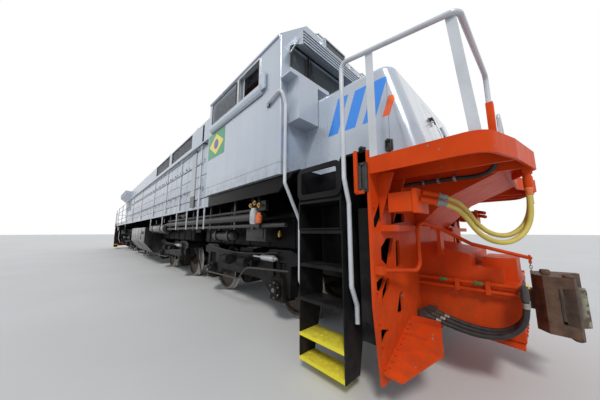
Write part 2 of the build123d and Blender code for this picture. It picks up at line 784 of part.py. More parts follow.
def cab_rear_wall():
    wall = cab_end_wall(CAB_REAR_X, CAB_REAR_X + CAB_WALL, REAR_DOORS)
    x, y = hinge_line(CAB_REAR_X, -1, REAR_DOORS[0][0], 1)
    hinges = hinge_knuckles(x, y, -1, 1, DOOR_HINGE_Z, False)
    return joined([wall] + hinges + [other_side(h) for h in hinges])


def rear_door():
    y0, y1, z0, z1 = REAR_DOORS[0]
    gap = DOOR_GAP
    door = block(CAB_REAR_X, CAB_REAR_X + CAB_WALL - 2, y0 + gap, y1 - gap, z0 + gap, z1 - gap)
    x, y = hinge_line(CAB_REAR_X, -1, y0, 1)
    return joined([door] + hinge_knuckles(x, y, -1, 1, DOOR_HINGE_Z, True))


def cab_glass():
    x = CAB_FRONT_X - CAB_WALL + 20
    panes = []
    for y0, y1, z0, z1 in FRONT_WINDOWS:
        panes.append(end_prism([(y0, z0), (y1, z0), (y1, z1), (y0, z1)], x, x + 10, WINDSCREEN_RADIUS))
    return apart(panes)


# Cab inside: control desk and two seats on the deck
DESK_X = (9450.0, 10000.0)
DESK_Y = (-1200.0, -300.0)
DESK_HEIGHT = 900.0
SEAT_X = 8900.0
SEAT_Y = 700.0
SEAT_HEIGHT = 380.0


def cab_inside():
    rear, front = DESK_X
    top = DECK_Z + DESK_HEIGHT
    desk = side_prism([(rear + 50, DECK_Z), (front - 100, DECK_Z), (front, top), (rear, top - 90)], *DESK_Y)
    pieces = [desk]
    for y in (-SEAT_Y, SEAT_Y):
        cushion = DECK_Z + SEAT_HEIGHT
        column = drum(SEAT_X, y, DECK_Z + SEAT_HEIGHT / 2, 60, SEAT_HEIGHT, "z")
        seat = block(SEAT_X - 220, SEAT_X + 250, y - 240, y + 240, cushion, cushion + 100)
        back = block(SEAT_X - 280, SEAT_X - 180, y - 230, y + 230, cushion + 100, cushion + 700)
        pieces.append(joined([column, seat, back]))
    return apart(pieces)


# Nose: low hood before the cab, its front sloped back and rounded at the corners, with a door in the slope
NOSE_RISE = NOSE_TOP_Z - ANTICLIMBER_TOP_Z
NOSE_SLOPE = math.degrees(math.atan2(NOSE_FOOT_X - NOSE_TOP_X, NOSE_RISE))
NOSE_DOOR_HALF = 330.0
# distances up the slope from its foot
NOSE_DOOR_S = (130.0, 930.0)
NOSE_HINGE_S = (330.0, 730.0)


def on_slope(shape):
    """A piece drawn with x out of the nose's front face and z up along it, put in its place."""
    return Pos(NOSE_FOOT_X, 0, ANTICLIMBER_TOP_Z) * Rot(0, -NOSE_SLOPE, 0) * shape


def nose_block(inset, low):
    """The nose's outer form, drawn in by the inset at its sides, top and front."""
    back = inset / math.cos(math.radians(NOSE_SLOPE))
    step = END_PLATE_X + PLATE
    top = NOSE_TOP_Z - inset
    lean = (NOSE_FOOT_X - NOSE_TOP_X) / NOSE_RISE
    foot = NOSE_FOOT_X - back
    profile = [
        (CAB_FRONT_X, DECK_Z - low),
        (step, DECK_Z - low),
        (step, ANTICLIMBER_TOP_Z - low),
        (foot + lean * low, ANTICLIMBER_TOP_Z - low),
        (foot - lean * (top - ANTICLIMBER_TOP_Z), top),
        (CAB_FRONT_X, top),
    ]
    side = side_prism(profile, -NOSE_HALF_REAR, NOSE_HALF_REAR)
    plan = [
        (CAB_FRONT_X, -NOSE_HALF_REAR + inset),
        (NOSE_FOOT_X + 10, -NOSE_HALF_FRONT + inset),
        (NOSE_FOOT_X + 10, NOSE_HALF_FRONT - inset),
        (CAB_FRONT_X, NOSE_HALF_REAR - inset),
    ]
    return (side & plan_prism(plan, DECK_Z - 200, NOSE_TOP_Z + 10)).solid()


def nose():
    shell = nose_block(0.0, 0.0)
    corners = []
    for edge in shell.edges():
        low_end, high_end = sorted([edge @ 0, edge @ 1], key=lambda point: point.Z)
        if abs(edge.center().Y) > 900 and low_end.X > NOSE_FOOT_X - 1 and high_end.Z > NOSE_TOP_Z - 1:
            corners.append(edge)
    shell = fillet(corners, 140)
    top_edges = []
    for edge in shell.edges():
        if edge.center().Z > NOSE_TOP_Z - 1 and edge.center().X > CAB_FRONT_X + 1:
            top_edges.append(edge)
    shell = fillet(top_edges, 60)
    shell = shell.cut(nose_block(NOSE_WALL, 1.0))
    s0, s1 = NOSE_DOOR_S
    opening = block(-NOSE_WALL - 30, 1, -NOSE_DOOR_HALF, NOSE_DOOR_HALF, s0, s1)
    shell = shell.cut(on_slope(opening))
    x, y = hinge_line(0.0, 1, NOSE_DOOR_HALF, -1)
    hinges = hinge_knuckles(x, y, 1, -1, NOSE_HINGE_S, False)
    return joined([shell] + [on_slope(h) for h in hinges])


def nose_door():
    s0, s1 = NOSE_DOOR_S
    half = NOSE_DOOR_HALF - DOOR_GAP
    panel = block(-NOSE_WALL + 2, 0, -half, half, s0 + DOOR_GAP, s1 - DOOR_GAP)
    x, y = hinge_line(0.0, 1, NOSE_DOOR_HALF, -1)
    return on_slope(joined([panel] + hinge_knuckles(x, y, 1, -1, NOSE_HINGE_S, True)))


# Jumper cables: two cables that hang in a loop from the sockets on the connector box to the platform's lip
CABLE_RADIUS = 17.0
CABLE_ENDS = [
    # start across, start height, end across
    (-1160.0, 1520.0, -720.0),
    (-1110.0, 1572.0, -660.0),
]
CABLE_START_X = 11800.0
CABLE_END_X = 12280.0
# rise of each run in degrees; all the runs are of one length
CABLE_RISES = (-12, -45, -60, -38, -5, 30, 60, 82, 90)


def cable_points(start_y, start_z, end_y):
    across = Vector(CABLE_END_X - CABLE_START_X, end_y - start_y, 0)
    run = across.length / sum(math.cos(math.radians(rise)) for rise in CABLE_RISES)
    points = [Vector(CABLE_START_X, start_y, start_z)]
    for rise in CABLE_RISES:
        angle = math.radians(rise)
        step = across.normalized() * run * math.cos(angle) + Vector(0, 0, run * math.sin(angle))
        points.append(points[-1] + step)
    return [tuple(point) for point in points]


def cord(points, radius):
    """A flexible cord: straight runs joined by wide arcs, each sized from the shorter run beside it."""
    radii = []
    for before, here, after in zip(points, points[1:], points[2:]):
        one = Vector(*here) - Vector(*before)
        two = Vector(*after) - Vector(*here)
        half_turn = math.radians(one.get_angle(two)) / 2
        radii.append(0.45 * min(one.length, two.length) / math.tan(half_turn))
    print("cord of diameter", 2 * radius, "radii", [round(r) for r in radii])
    path = FilletPolyline(*points, radius=radii)
    return sweep(Plane(origin=points[0], z_dir=path % 0) * Circle(radius), path=path)


# Pilot: end plate with its slanted openings, hollow platform with ribs and lip, hull under it, connector box
# on its shelf, draft gear box with the train line bars, and the folded guard plates over the rails
DRAFT_HALF = 480.0
FACE_X = END_PLATE_X + PLATE
REACH_X = END_PLATE_X + ANTICLIMBER_REACH
PLATFORM_EDGE_Y = 1440.0
PLATFORM_LOW_Z = ANTICLIMBER_TOP_Z - ANTICLIMBER_DEPTH
SKIN = 16.0
HULL_HALF = 550.0
LIP_X = CABLE_END_X + 45
LIP_Y = 690.0
CONNECTOR_X = CABLE_START_X - 90
CONNECTOR_Y = 1190.0
CONNECTOR_Z = 1532.0
TRAIN_PIPE_Y = 530.0
TRAIN_PIPE_Z = (808.0, 868.0)
END_OPENINGS = [
    [(1150, 1728), (1100, 1610), (1330, 1340), (1405, 1340), (1405, 1400), (1190, 1690)],
    [(1080, 1478), (820, 1500), (820, 1400), (1100, 1370)],
    [(1210, 1250), (1080, 1255), (1190, 1010), (1310, 1090), (1310, 1180)],
    [(1030, 1230), (960, 1230), (960, 1000), (1050, 1000)],
    [(1405, 930), (1300, 962), (1260, 925), (1400, 770)],
    [(1240, 938), (1190, 930), (1210, 835), (1345, 725), (1318, 850)],
    [(1010, 785), (950, 795), (950, 615), (1085, 635)],
    [(1370, 590), (1230, 552), (1372, 445)],
]


def end_plate():
    edge = PLATFORM_EDGE_Y
    foot = edge - 70
    top = DECK_Z - 10
    outline = [(-foot, 205), (foot, 205), (edge, 760), (edge, top), (-edge, top), (-edge, 760)]
    plate = end_prism(outline, END_PLATE_X, FACE_X)
    for points in END_OPENINGS:
        opening = end_prism(points, END_PLATE_X, FACE_X, 14)
        plate = plate.cut(opening, other_side(opening))
    return plate


def platform_outline(skin):
    """The platform's plan drawn in by a skin, with its rounded corners and the notch at the middle."""
    edge = PLATFORM_EDGE_Y - skin
    front = REACH_X - skin
    half = [
        (FACE_X - 1 + skin, edge),
        (front, edge),
        (front + 105, 1100),
        (front + 185, 660),
        (front + 50, 300),
    ]
    plan = make_face(Polyline(*half, *[(x, -y) for x, y in reversed(half)], close=True))
    corners = [v for v in plan.vertices() if abs(v.Y) > edge - 1 and v.X > front - 1]
    return fillet(corners, 150 - skin)


def platform():
    depth = ANTICLIMBER_DEPTH
    outer = Pos(0, 0, PLATFORM_LOW_Z) * extrude(platform_outline(0.0), amount=depth)
    pocket = Pos(0, 0, PLATFORM_LOW_Z) * extrude(platform_outline(SKIN), amount=depth - SKIN)
    tray = outer.cut(pocket)
    ribs = []
    for y in (780.0, 1080.0):
        rib = block(FACE_X, LIP_X, y - SKIN / 2, y + SKIN / 2, PLATFORM_LOW_Z, ANTICLIMBER_TOP_Z - 1)
        rib = (rib & outer).solid()
        ribs += [rib, other_side(rib)]
    hull_top = ANTICLIMBER_TOP_Z - 1
    profile = [
        (FACE_X - 1, 1328),
        (FACE_X + 315, 1628),
        (REACH_X, PLATFORM_LOW_Z + 60),
        (LIP_X, PLATFORM_LOW_Z + 60),
        (LIP_X, hull_top),
        (FACE_X - 1, hull_top),
    ]
    hull = side_prism(profile, -HULL_HALF, HULL_HALF)
    over = Pos(0, 0, 1300) * extrude(platform_outline(0.0), amount=hull_top - 1300)
    hull = (hull & over).solid()
    return joined([tray, hull] + ribs)


def draft_box():
    """The box that carries the coupler, the block over it, the low plate and the train line pipes."""
    half = DRAFT_HALF
    outline = [
        (FACE_X - 1, 1193),
        (FACE_X + 425, 1105),
        (FACE_X + 425, 990),
        (FACE_X + 635, 990),
        (FACE_X + 635, 870),
        (REACH_X, 870),
        (REACH_X, 450),
        (FACE_X - 1, 450),
    ]
    box = side_prism(outline, -half, half)
    over = block(REACH_X - 250, REACH_X - 10, -250, 250, 860, 1068)
    keel = [(FACE_X - 1, 500), (REACH_X - 10, 440), (REACH_X - 10, 405), (FACE_X - 1, 462)]
    low_plate = side_prism(keel, -half - 35, half + 35)
    pieces = [box, over, low_plate]
    for z in TRAIN_PIPE_Z:
        pipe = drum((FACE_X + REACH_X) / 2, TRAIN_PIPE_Y, z, 15, REACH_X - FACE_X, "x")
        pieces += [pipe, other_side(pipe)]
    for x in (FACE_X + 305, FACE_X + 520):
        clamp = block(x, x + 34, half - 1, TRAIN_PIPE_Y + 20, TRAIN_PIPE_Z[0] - 22, TRAIN_PIPE_Z[1] + 22)
        pieces += [clamp, other_side(clamp)]
    return pieces


def guard_plate():
    """The folded plate before one rail: level at the middle, then sloped down and outwards."""
    fold = [(700, 528), (860, 528), (1370, 300), (1370, 284), (856, 512), (700, 512)]
    plate = end_prism(fold, FACE_X - 1, FACE_X + 315)
    plan = [
        (FACE_X - 1, 700),
        (FACE_X + 205, 700),
        (FACE_X + 315, 1070),
        (FACE_X + 135, 1370),
        (FACE_X - 1, 1370),
    ]
    plate = (plate & plan_prism(plan, 200, 600)).solid()
    web = side_prism([(FACE_X - 1, 470), (FACE_X + 190, 470), (FACE_X - 1, 230)], 992, 1008)
    return [plate, web]


def cable_sockets():
    """For each cable the socket on the connector box and the holder below the lip, in line with its ends."""
    pieces = []
    for ends in CABLE_ENDS:
        points = [Vector(*point) for point in cable_points(*ends)]
        for end, beyond, reach in ((points[0], points[1], 120), (points[-1], points[-2], 0)):
            back = (end - beyond).normalized()
            if not reach:
                reach = PLATFORM_LOW_Z + 20 - end.Z
            start = end + back * SEAT_GAP
            socket = bar(tuple(start), tuple(start + back * reach), CABLE_RADIUS + 7)
            pieces.append(other_side(socket))
    return pieces


def pilot():
    pieces = [end_plate(), platform()] + draft_box()
    side = guard_plate()
    for y in (1290.0, 1060.0):
        web = [(FACE_X - 1, PLATFORM_LOW_Z + 20), (FACE_X + 130, PLATFORM_LOW_Z + 20), (FACE_X - 1, 1380)]
        side.append(side_prism(web, y - 8, y + 8))
    side.append(block(FACE_X - 1, FACE_X + 110, 450, 1300, 1308, 1358))
    lip_z = PLATFORM_LOW_Z
    side.append(block(LIP_X - 64, LIP_X - 13, LIP_Y - 60, LIP_Y + 60, lip_z - 24, lip_z + 40))
    side += cable_sockets()
    x = CONNECTOR_X
    y = CONNECTOR_Y
    z = CONNECTOR_Z
    box = block(x - 210, x, y - 110, y + 110, z - 75, z + 75)
    rim = block(x - 22, x + 8, y - 124, y + 124, z - 89, z + 89)
    arm = block(FACE_X - 1, x - 209, y - 60, y + 60, z - 40, z + 40)
    side += [box, rim, arm]
    whole = joined(pieces + side + [other_side(piece) for piece in side])
    z0 = COUPLER_Z - POCKET_HALF_HEIGHT
    z1 = COUPLER_Z + POCKET_HALF_HEIGHT
    pocket = block(COUPLER_PIVOT_X - 120, REACH_X + 80, -170, 170, z0, z1)
    return whole.cut(pocket)


# Cut lever: the bent rod that lifts the coupler's lock, from the corner clamp to the middle of the platform
LEVER_RADIUS = 17.0


def cut_lever():
    x = FACE_X
    points = [
        (x + 40, -1390, 1018),
        (x + 140, -900, 975),
        (x + 140, -900, 1395),
        (x + 215, -560, 1345),
        (x + 420, -330, 1190),
        (x + 800, 0, 1062),
    ]
    rod = tube(points, 80.0, LEVER_RADIUS)
    foot = block(x + SEAT_GAP, x + 60, -1420, -1360, 990, 1046)
    stay = block(x + 200, x + 230, -580, -DRAFT_HALF - SEAT_GAP, 1080, 1350)
    eye = block(x + 785, x + 801, -30, 30, 1020, 1090)
    return joined([rod, foot, stay, eye])


# Brake hoses: three thick hoses from the cocks at the end of the train line, bent back under themselves to
# their couplings, which are stowed on the draft gear box
HOSE_RADIUS = 20.0
HOSE_Y = 545.0
HOSE_PITCH = 48.0
HOSE_START_Z = 800.0
COCK_X = REACH_X + 30
HOSE_RUNS = [
    # length, heading from level forward
    (100.0, -90.0),
    (110.0, -115.0),
    (120.0, -142.0),
    (130.0, -168.0),
    (150.0, -184.0),
    (150.0, -192.0),
]


def hose_points(number):
    scale = 1.0 + 0.04 * number
    x, y, z = COCK_X, -HOSE_Y - number * HOSE_PITCH, HOSE_START_Z
    points = [(x, y, z)]
    for length, heading in HOSE_RUNS:
        x += scale * length * math.cos(math.radians(heading))
        z += scale * length * math.sin(math.radians(heading))
        points.append((x, y, z))
    return points


def hose_fittings():
    """A cock above each hose, joined by a manifold, and a coupling behind each, joined by their shelf."""
    last = -HOSE_Y - 2 * HOSE_PITCH
    cocks = [block(REACH_X + SEAT_GAP, COCK_X + 16, last, -DRAFT_HALF + 60, 816, 860)]
    heads = []
    for number in range(3):
        points = hose_points(number)
        x, y, z = points[0]
        cocks.append(drum(x, y, z + 45, HOSE_RADIUS + 2, 90, "z"))
        cocks.append(block(x - 8, x + 8, y - 22, y + 22, z + 88, z + 116))
        run = Vector(*points[-1]) - Vector(*points[-2])
        facing = Plane(origin=points[-1], z_dir=run.normalized())
        heads.append(extrude(facing * Circle(HOSE_RADIUS + 3), amount=70))
        x, y, z = points[-1]
        heads.append(block(x - 130, x - 55, y - 22, y + 22, z - 24, z + 60))
    heads.append(block(x - 90, x - 60, last, -DRAFT_HALF - SEAT_GAP, z - 10, z + 20))
    return apart([joined(cocks), joined(heads)])


# Coupler: shank in its pocket, tall head with guard arm, and the knuckle on its round pin
KNUCKLE_PIN_X = COUPLER_FACE_X - 82.0
KNUCKLE_PIN_Y = -150.0
KNUCKLE_PIN_RADIUS = 22.0


def coupler():
    x = COUPLER_PIVOT_X
    face = COUPLER_FACE_X
    low = COUPLER_Z - COUPLER_HEAD_HALF
    high = COUPLER_Z + COUPLER_HEAD_HALF
    shank = block(x - 60, face - 290, -65, 65, COUPLER_Z - 80, COUPLER_Z + 80)
    head = [
        (face - 300, -110),
        (face - 300, 110),
        (face - 180, 190),
        (face - 20, 230),
        (face, 200),
        (face - 110, 60),
        (face - 140, -30),
        (face - 150, -190),
        (face - 230, -190),
    ]
    pieces = [shank, plan_prism(head, low, high)]
    pieces.append(drum(x, 0, COUPLER_Z, 45.0, 2 * POCKET_HALF_HEIGHT - 2 * SEAT_GAP, "z"))
    ear = [(face - 152, -190), (face - 150, -60), (face - 70, -100), (face - 45, -150), (face - 60, -195)]
    pieces.append(plan_prism(ear, COUPLER_Z + KNUCKLE_HALF + SEAT_GAP, high))
    pieces.append(plan_prism(ear, low, COUPLER_Z - KNUCKLE_HALF - SEAT_GAP))
    pieces.append(drum(KNUCKLE_PIN_X, KNUCKLE_PIN_Y, COUPLER_Z, KNUCKLE_PIN_RADIUS, high - low + 30, "z"))
    return joined(pieces)


def knuckle():
    face = COUPLER_FACE_X
    outline = [
        (face - 120, -50),
        (face - 126, -175),
        (face - 60, -195),
        (face, -120),
        (face, -20),
        (face - 40, 0),
        (face - 70, -60),
    ]
    body = plan_prism(outline, COUPLER_Z - KNUCKLE_HALF, COUPLER_Z + KNUCKLE_HALF)
    bore_radius = KNUCKLE_PIN_RADIUS + JOURNAL_CLEARANCE
    bore = drum(KNUCKLE_PIN_X, KNUCKLE_PIN_Y, COUPLER_Z, bore_radius, 2 * KNUCKLE_HALF, "z")
    return body.cut(bore)


# Corner steps: two side plates and the treads between them, at each corner
TREADS = [
    # height of the tread's top, inner edge
    (1608.0, 1120.0),
    (1318.0, 1140.0),
    (998.0, 1160.0),
    (678.0, 1180.0),
    (358.0, 1200.0),
    (148.0, 1240.0),
]


def corner_steps():
    x0, x1 = STEP_WELL_X
    low = DECK_BOTTOM
    inner = STEP_WELL_Y
    outer = DECK_HALF
    side = end_prism([(inner, low), (outer, low), (outer, 120), (inner + 140, 120), (inner, 700)], 0, 12)
    pieces = [Pos(x0, 0, 0) * side, Pos(x1 - 12, 0, 0) * side]
    for z, inner_edge in TREADS:
        pieces.append(block(x0, x1, inner_edge, DECK_HALF, z - 30, z))
    pieces.append(block(x0, x1, inner, inner + 12, TREADS[0][0] - 30, low))
    left_front = joined(pieces)
    right_front = other_side(left_front)
    return apart([left_front, right_front, other_end(left_front), other_end(right_front)])


# Handrails: the step rails, which run on round the end platform, the flat posts, and the walkway rails
RAIL_Y = 1460.0
RAIL_BEND = 60.0
STEP_RAIL_X = (10400.0, 11200.0)
PLATFORM_RAIL_Z = 2730.0
GATE_HALF = 480.0
WALKWAY_POSTS_X = [7700.0, 6350.0, 5000.0, 3300.0, 800.0, -1700.0, -4200.0, -6700.0, -9200.0]
WALKWAY_RAILS_Z = (2188.0, 2688.0, 3028.0)
WIDE_POST_X = (7180.0, 7420.0)


def end_rails():
    """Both step rails of one corner and the flat posts of its platform rail."""
    rear_x, front_x = STEP_RAIL_X
    y = RAIL_Y
    side_y = HALF_WIDTH + 28
    rear = tube(
        [
            (CAB_FRONT_X - 230, side_y, 2900),
            (CAB_FRONT_X + 50, side_y, 2990),
            (rear_x, y, 2800),
            (rear_x, y, 1850),
            (rear_x, 1228, 1428),
            (rear_x, 1228, 768),
            (rear_x, 1128, 558),
            (rear_x, 1128, 478),
        ],
        RAIL_BEND,
        RAIL_TUBE,
    )
    foot = block(CAB_FRONT_X - 250, CAB_FRONT_X - 210, HALF_WIDTH + SEAT_GAP, side_y + 8, 2870, 2930)
    front = tube(
        [
            (front_x, 1330, 558),
            (front_x, 1330, 698),
            (front_x, 1400, 858),
            (front_x, 1400, 1548),
            (front_x, y, 1758),
            (front_x, y, 2850),
            (REACH_X - 60, y - 50, PLATFORM_RAIL_Z),
            (REACH_X - 40, GATE_HALF, PLATFORM_RAIL_Z),
            (REACH_X - 40, GATE_HALF, ANTICLIMBER_TOP_Z),
        ],
        RAIL_BEND,
        RAIL_TUBE,
    )
    posts = [block(FACE_X + 10, FACE_X + 70, y - 36, y - 20, ANTICLIMBER_TOP_Z, 2825)]
    lean = [
        (REACH_X - 20, ANTICLIMBER_TOP_Z),
        (REACH_X - 80, PLATFORM_RAIL_Z),
        (REACH_X - 140, PLATFORM_RAIL_Z),
        (REACH_X - 80, ANTICLIMBER_TOP_Z),
    ]
    posts.append(side_prism(lean, y - 72, y - 60))
    return joined([rear, foot]), joined([front] + posts)


def handrails():
    rails = []
    for rail in end_rails():
        rails += [rail, other_side(rail), other_end(rail), other_end(other_side(rail))]
    foot_z = DECK_Z - SILL_DEPTH + 50
    top_z = WALKWAY_RAILS_Z[-1]
    pieces = [bar((x, RAIL_Y, foot_z), (x, RAIL_Y, top_z), RAIL_TUBE) for x in WALKWAY_POSTS_X]
    for z in WALKWAY_RAILS_Z:
        pieces.append(bar((WALKWAY_POSTS_X[-1], RAIL_Y, z), (WALKWAY_POSTS_X[0], RAIL_Y, z), RAIL_TUBE - 4))
    pieces.append(block(*WIDE_POST_X, RAIL_Y - 10, RAIL_Y + 12, foot_z, top_z + 30))
    side = joined(pieces)
    rails += [side, other_side(side)]
    return apart(rails)


# Roof: exhaust stack, horn cluster and the radiator fan
FAN_X = -8900.0
FAN_RADIUS = 620.0
FAN_SEAT = 12.0


def roof_gear():
    stack = block(-900, -200, -300, 300, HOOD_TOP_Z, HOOD_TOP_Z + 120)
    hatch = block(3200, 5600, -850, 850, HOOD_TOP_Z, HOOD_TOP_Z + 40)
    ring = drum(FAN_X, 0, HOOD_TOP_Z + 60, FAN_RADIUS + 60, 120, "z")
    ring = ring.cut(drum(FAN_X, 0, HOOD_TOP_Z + 70, FAN_RADIUS + 10, 120, "z"))
    motor = drum(FAN_X, 0, HOOD_TOP_Z + FAN_SEAT / 2 - SEAT_GAP / 2, 90, FAN_SEAT - SEAT_GAP, "z")
    ring = joined([ring, motor])
    return apart([stack, hatch, ring])


def radiator_fan():
    hub = drum(FAN_X, 0, HOOD_TOP_Z + FAN_SEAT + 35, 110, 70, "z")
    blades = []
    for i in range(8):
        blade = Rot(0, 0, i * 45.0) * (Pos(350, 0, 0) * Rot(28, 0, 0) * Box(520, 120, 8))
        blades.append(Pos(FAN_X, 0, HOOD_TOP_Z + 60) * blade)
    return joined([hub] + blades)


# Build and write each node
truck_xs = [
    BOLSTER_PIVOT_X + TRUCK_SPACING / 2,
    BOLSTER_PIVOT_X - TRUCK_SPACING / 2,
    -BOLSTER_PIVOT_X + TRUCK_SPACING / 2,
    -BOLSTER_PIVOT_X - TRUCK_SPACING / 2,
]
one_wheelset = wheelset()
one_frame = truck_frame()
one_gear = truck_gear()
one_motor_pair = traction_motors()
axle_number = 0
for number, truck_x in enumerate(truck_xs, start=1):
    save(Pos(truck_x, 0, 0) * one_frame, f"truck_frame_{number}")
    save(Pos(truck_x, 0, 0) * one_gear, f"truck_gear_{number}")
    save(Pos(truck_x, 0, 0) * one_motor_pair, f"traction_motors_{number}")
    for side in (1, -1):
        axle_number += 1
        save(Pos(truck_x + side * WHEELBASE / 2, 0, AXLE_Z) * one_wheelset, f"wheelset_{axle_number}")

one_bolster = span_bolster()
save(Pos(BOLSTER_PIVOT_X, 0, 0) * one_bolster, "span_bolster_front")
save(Pos(-BOLSTER_PIVOT_X, 0, 0) * one_bolster, "span_bolster_rear")

sill = cab_sill()
save(joined([underframe(), sill, other_side(sill)]), "underframe")
save(walkway_skirts(), "walkway_skirts")
save(fuel_tank(), "fuel_tank")
reservoir = air_reservoir()
save(apart([reservoir, other_side(reservoir)]), "air_reservoirs")
pipes = sill_piping()
save(apart([pipes, other_side(pipes)]), "sill_piping")
save(engine_block(), "engine_block")
save(long_hood(), "long_hood")
save(hood_doors(), "hood_doors")
save(radiator_wings(), "radiator_wings")
side_wall = cab_side()
save(apart([side_wall, other_side(side_wall)]), "cab_sides")
save(cab_roof(), "cab_roof")
save(cab_front_wall(), "cab_front_wall")
save(cab_rear_wall(), "cab_rear_wall")
door = rear_door()
save(door, "cab_door_right")
save(other_side(door), "cab_door_left")
save(cab_glass(), "cab_windows")
save(windscreen_shade(), "windscreen_shade")
save(cab_ledges(), "cab_ledges")
save(cab_inside(), "cab_seats_and_desk")
save(nose(), "nose")
save(nose_door(), "nose_door")
front = pilot()
save(front, "front_pilot")
save(other_end(front), "rear_pilot")
one_coupler = coupler()
one_knuckle = knuckle()
save(one_coupler, "front_coupler")
save(other_end(one_coupler), "rear_coupler")
save(one_knuckle, "front_knuckle")
save(other_end(one_knuckle), "rear_knuckle")
lever = cut_lever()
save(apart([lever, other_end(lever)]), "cut_levers")
for number, ends in enumerate(CABLE_ENDS, start=1):
    save(cord(cable_points(*ends), CABLE_RADIUS), f"jumper_cable_{number}")
save(hose_fittings(), "hose_fittings")
for number in range(3):
    save(cord(hose_points(number), HOSE_RADIUS), f"brake_hose_{number + 1}")
save(corner_steps(), "corner_steps")
save(handrails(), "handrails")
save(roof_gear(), "roof_gear")
save(radiator_fan(), "radiator_fan")
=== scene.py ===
import math

import bpy
from mathutils import Matrix, Vector


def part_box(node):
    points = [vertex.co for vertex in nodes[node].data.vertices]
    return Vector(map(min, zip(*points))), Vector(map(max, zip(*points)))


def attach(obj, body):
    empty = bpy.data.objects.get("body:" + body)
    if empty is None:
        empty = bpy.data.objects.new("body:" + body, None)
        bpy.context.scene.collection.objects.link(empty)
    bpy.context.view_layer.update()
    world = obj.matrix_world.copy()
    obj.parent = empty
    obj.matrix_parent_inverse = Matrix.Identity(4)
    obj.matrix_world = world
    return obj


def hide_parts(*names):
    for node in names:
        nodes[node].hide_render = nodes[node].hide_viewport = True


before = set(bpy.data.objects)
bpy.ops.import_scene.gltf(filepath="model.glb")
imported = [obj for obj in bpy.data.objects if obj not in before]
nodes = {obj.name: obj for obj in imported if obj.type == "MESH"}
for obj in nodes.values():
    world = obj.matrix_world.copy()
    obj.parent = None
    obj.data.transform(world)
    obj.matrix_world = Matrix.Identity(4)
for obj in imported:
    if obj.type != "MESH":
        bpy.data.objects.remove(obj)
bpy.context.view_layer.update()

# Camera: low beside the front coupler and close to it, 1.3 m above the foot of the wheels, looking back along
# the locomotive's right side through a very wide lens.
camera_data = bpy.data.cameras.new("camera")
camera_data.lens = 13.3
camera_data.sensor_width = 36.0
camera_data.clip_start = 0.02
camera_data.clip_end = 500.0
camera = bpy.data.objects.new("camera", camera_data)
bpy.context.scene.collection.objects.link(camera)
turn = math.radians(43.4)
tilt = math.radians(8.2)
ahead = Vector((-math.cos(tilt) * math.cos(turn), math.cos(tilt) * math.sin(turn), math.sin(tilt)))
camera.rotation_mode = "QUATERNION"
camera.rotation_quaternion = ahead.to_track_quat("-Z", "Y")
camera.location = (12.289, -3.011, 1.303)
bpy.context.scene.camera = camera


# Jumper cables: two flexible cables in thick yellow rubber jackets, hung in a loop between the connector box
# and the platform's lip. A grey moulded boot holds each at the box, and an orange shackle at the lip.
def fill(tree, made, inputs):
    """A node's inputs are set to values, or linked where they are given another node's socket."""
    for name, value in inputs.items():
        if isinstance(value, bpy.types.NodeSocket):
            tree.links.new(value, made.inputs[name])
        else:
            made.inputs[name].default_value = value
    return made


def node(tree, kind, inputs=None, operation=None):
    """A new shader node with its inputs filled."""
    made = tree.nodes.new(f"ShaderNode{kind}")
    if operation:
        made.operation = operation
    return fill(tree, made, inputs or {})


def surface(name, tones, cloud, gloss, grain, relief, metallic=0.0, coat=0.0, specular=0.5):
    """A finish: two close tones in soft clouds, gloss between two values, and a fine grain in low relief."""
    made = bpy.data.materials.new(name)
    made.use_nodes = True
    tree = made.node_tree
    place = node(tree, "TexCoord").outputs["Object"]
    clouds = node(tree, "TexNoise", {"Vector": place, "Scale": cloud, "Detail": 6.0}).outputs["Fac"]
    ramp = node(tree, "ValToRGB", {"Fac": clouds})
    for stop, position, tone in zip(ramp.color_ramp.elements, (0.36, 0.66), tones):
        stop.position = position
        stop.color = (*tone, 1.0)
    limits = {"From Min": 0.3, "From Max": 0.7, "To Min": gloss[0], "To Max": gloss[1]}
    rough = node(tree, "MapRange", {"Value": clouds, **limits})
    fine = node(tree, "TexNoise", {"Vector": place, "Scale": grain, "Detail": 4.0})
    bump = node(tree, "Bump", {"Height": fine.outputs["Fac"], "Strength": relief, "Distance": 0.002})
    inputs = {
        "Base Color": ramp.outputs["Color"],
        "Roughness": rough.outputs["Result"],
        "Normal": bump.outputs["Normal"],
        "Metallic": metallic,
        "Specular IOR Level": specular,
        "Coat Weight": coat,
        "Coat Roughness": 0.12,
    }
    fill(tree, tree.nodes["Principled BSDF"], inputs)
    return made


def route(name, points, diameter, finish):
    """A cord's round jacket along one smooth line through its route."""
    line = bpy.data.curves.new(name, "CURVE")
    line.dimensions = "3D"
    spline = line.splines.new("NURBS")
    spline.points.add(len(points) - 1)
    for knot, place in zip(spline.points, points):
        knot.co = (*place, 1.0)
    spline.use_endpoint_u = True
    spline.order_u = 3
    spline.resolution_u = 10
    line.bevel_depth = diameter / 2
    line.bevel_resolution = 6
    line.use_fill_caps = True
    piece = bpy.data.objects.new(name, line)
    bpy.context.scene.collection.objects.link(piece)
    line.materials.append(finish)
    return piece


def shut():
    """The end of an edit: all faces are turned outward and the mesh is left as it is."""
    bpy.ops.mesh.select_all(action="SELECT")
    bpy.ops.mesh.normals_make_consistent(inside=False)
    bpy.ops.object.mode_set(mode="OBJECT")


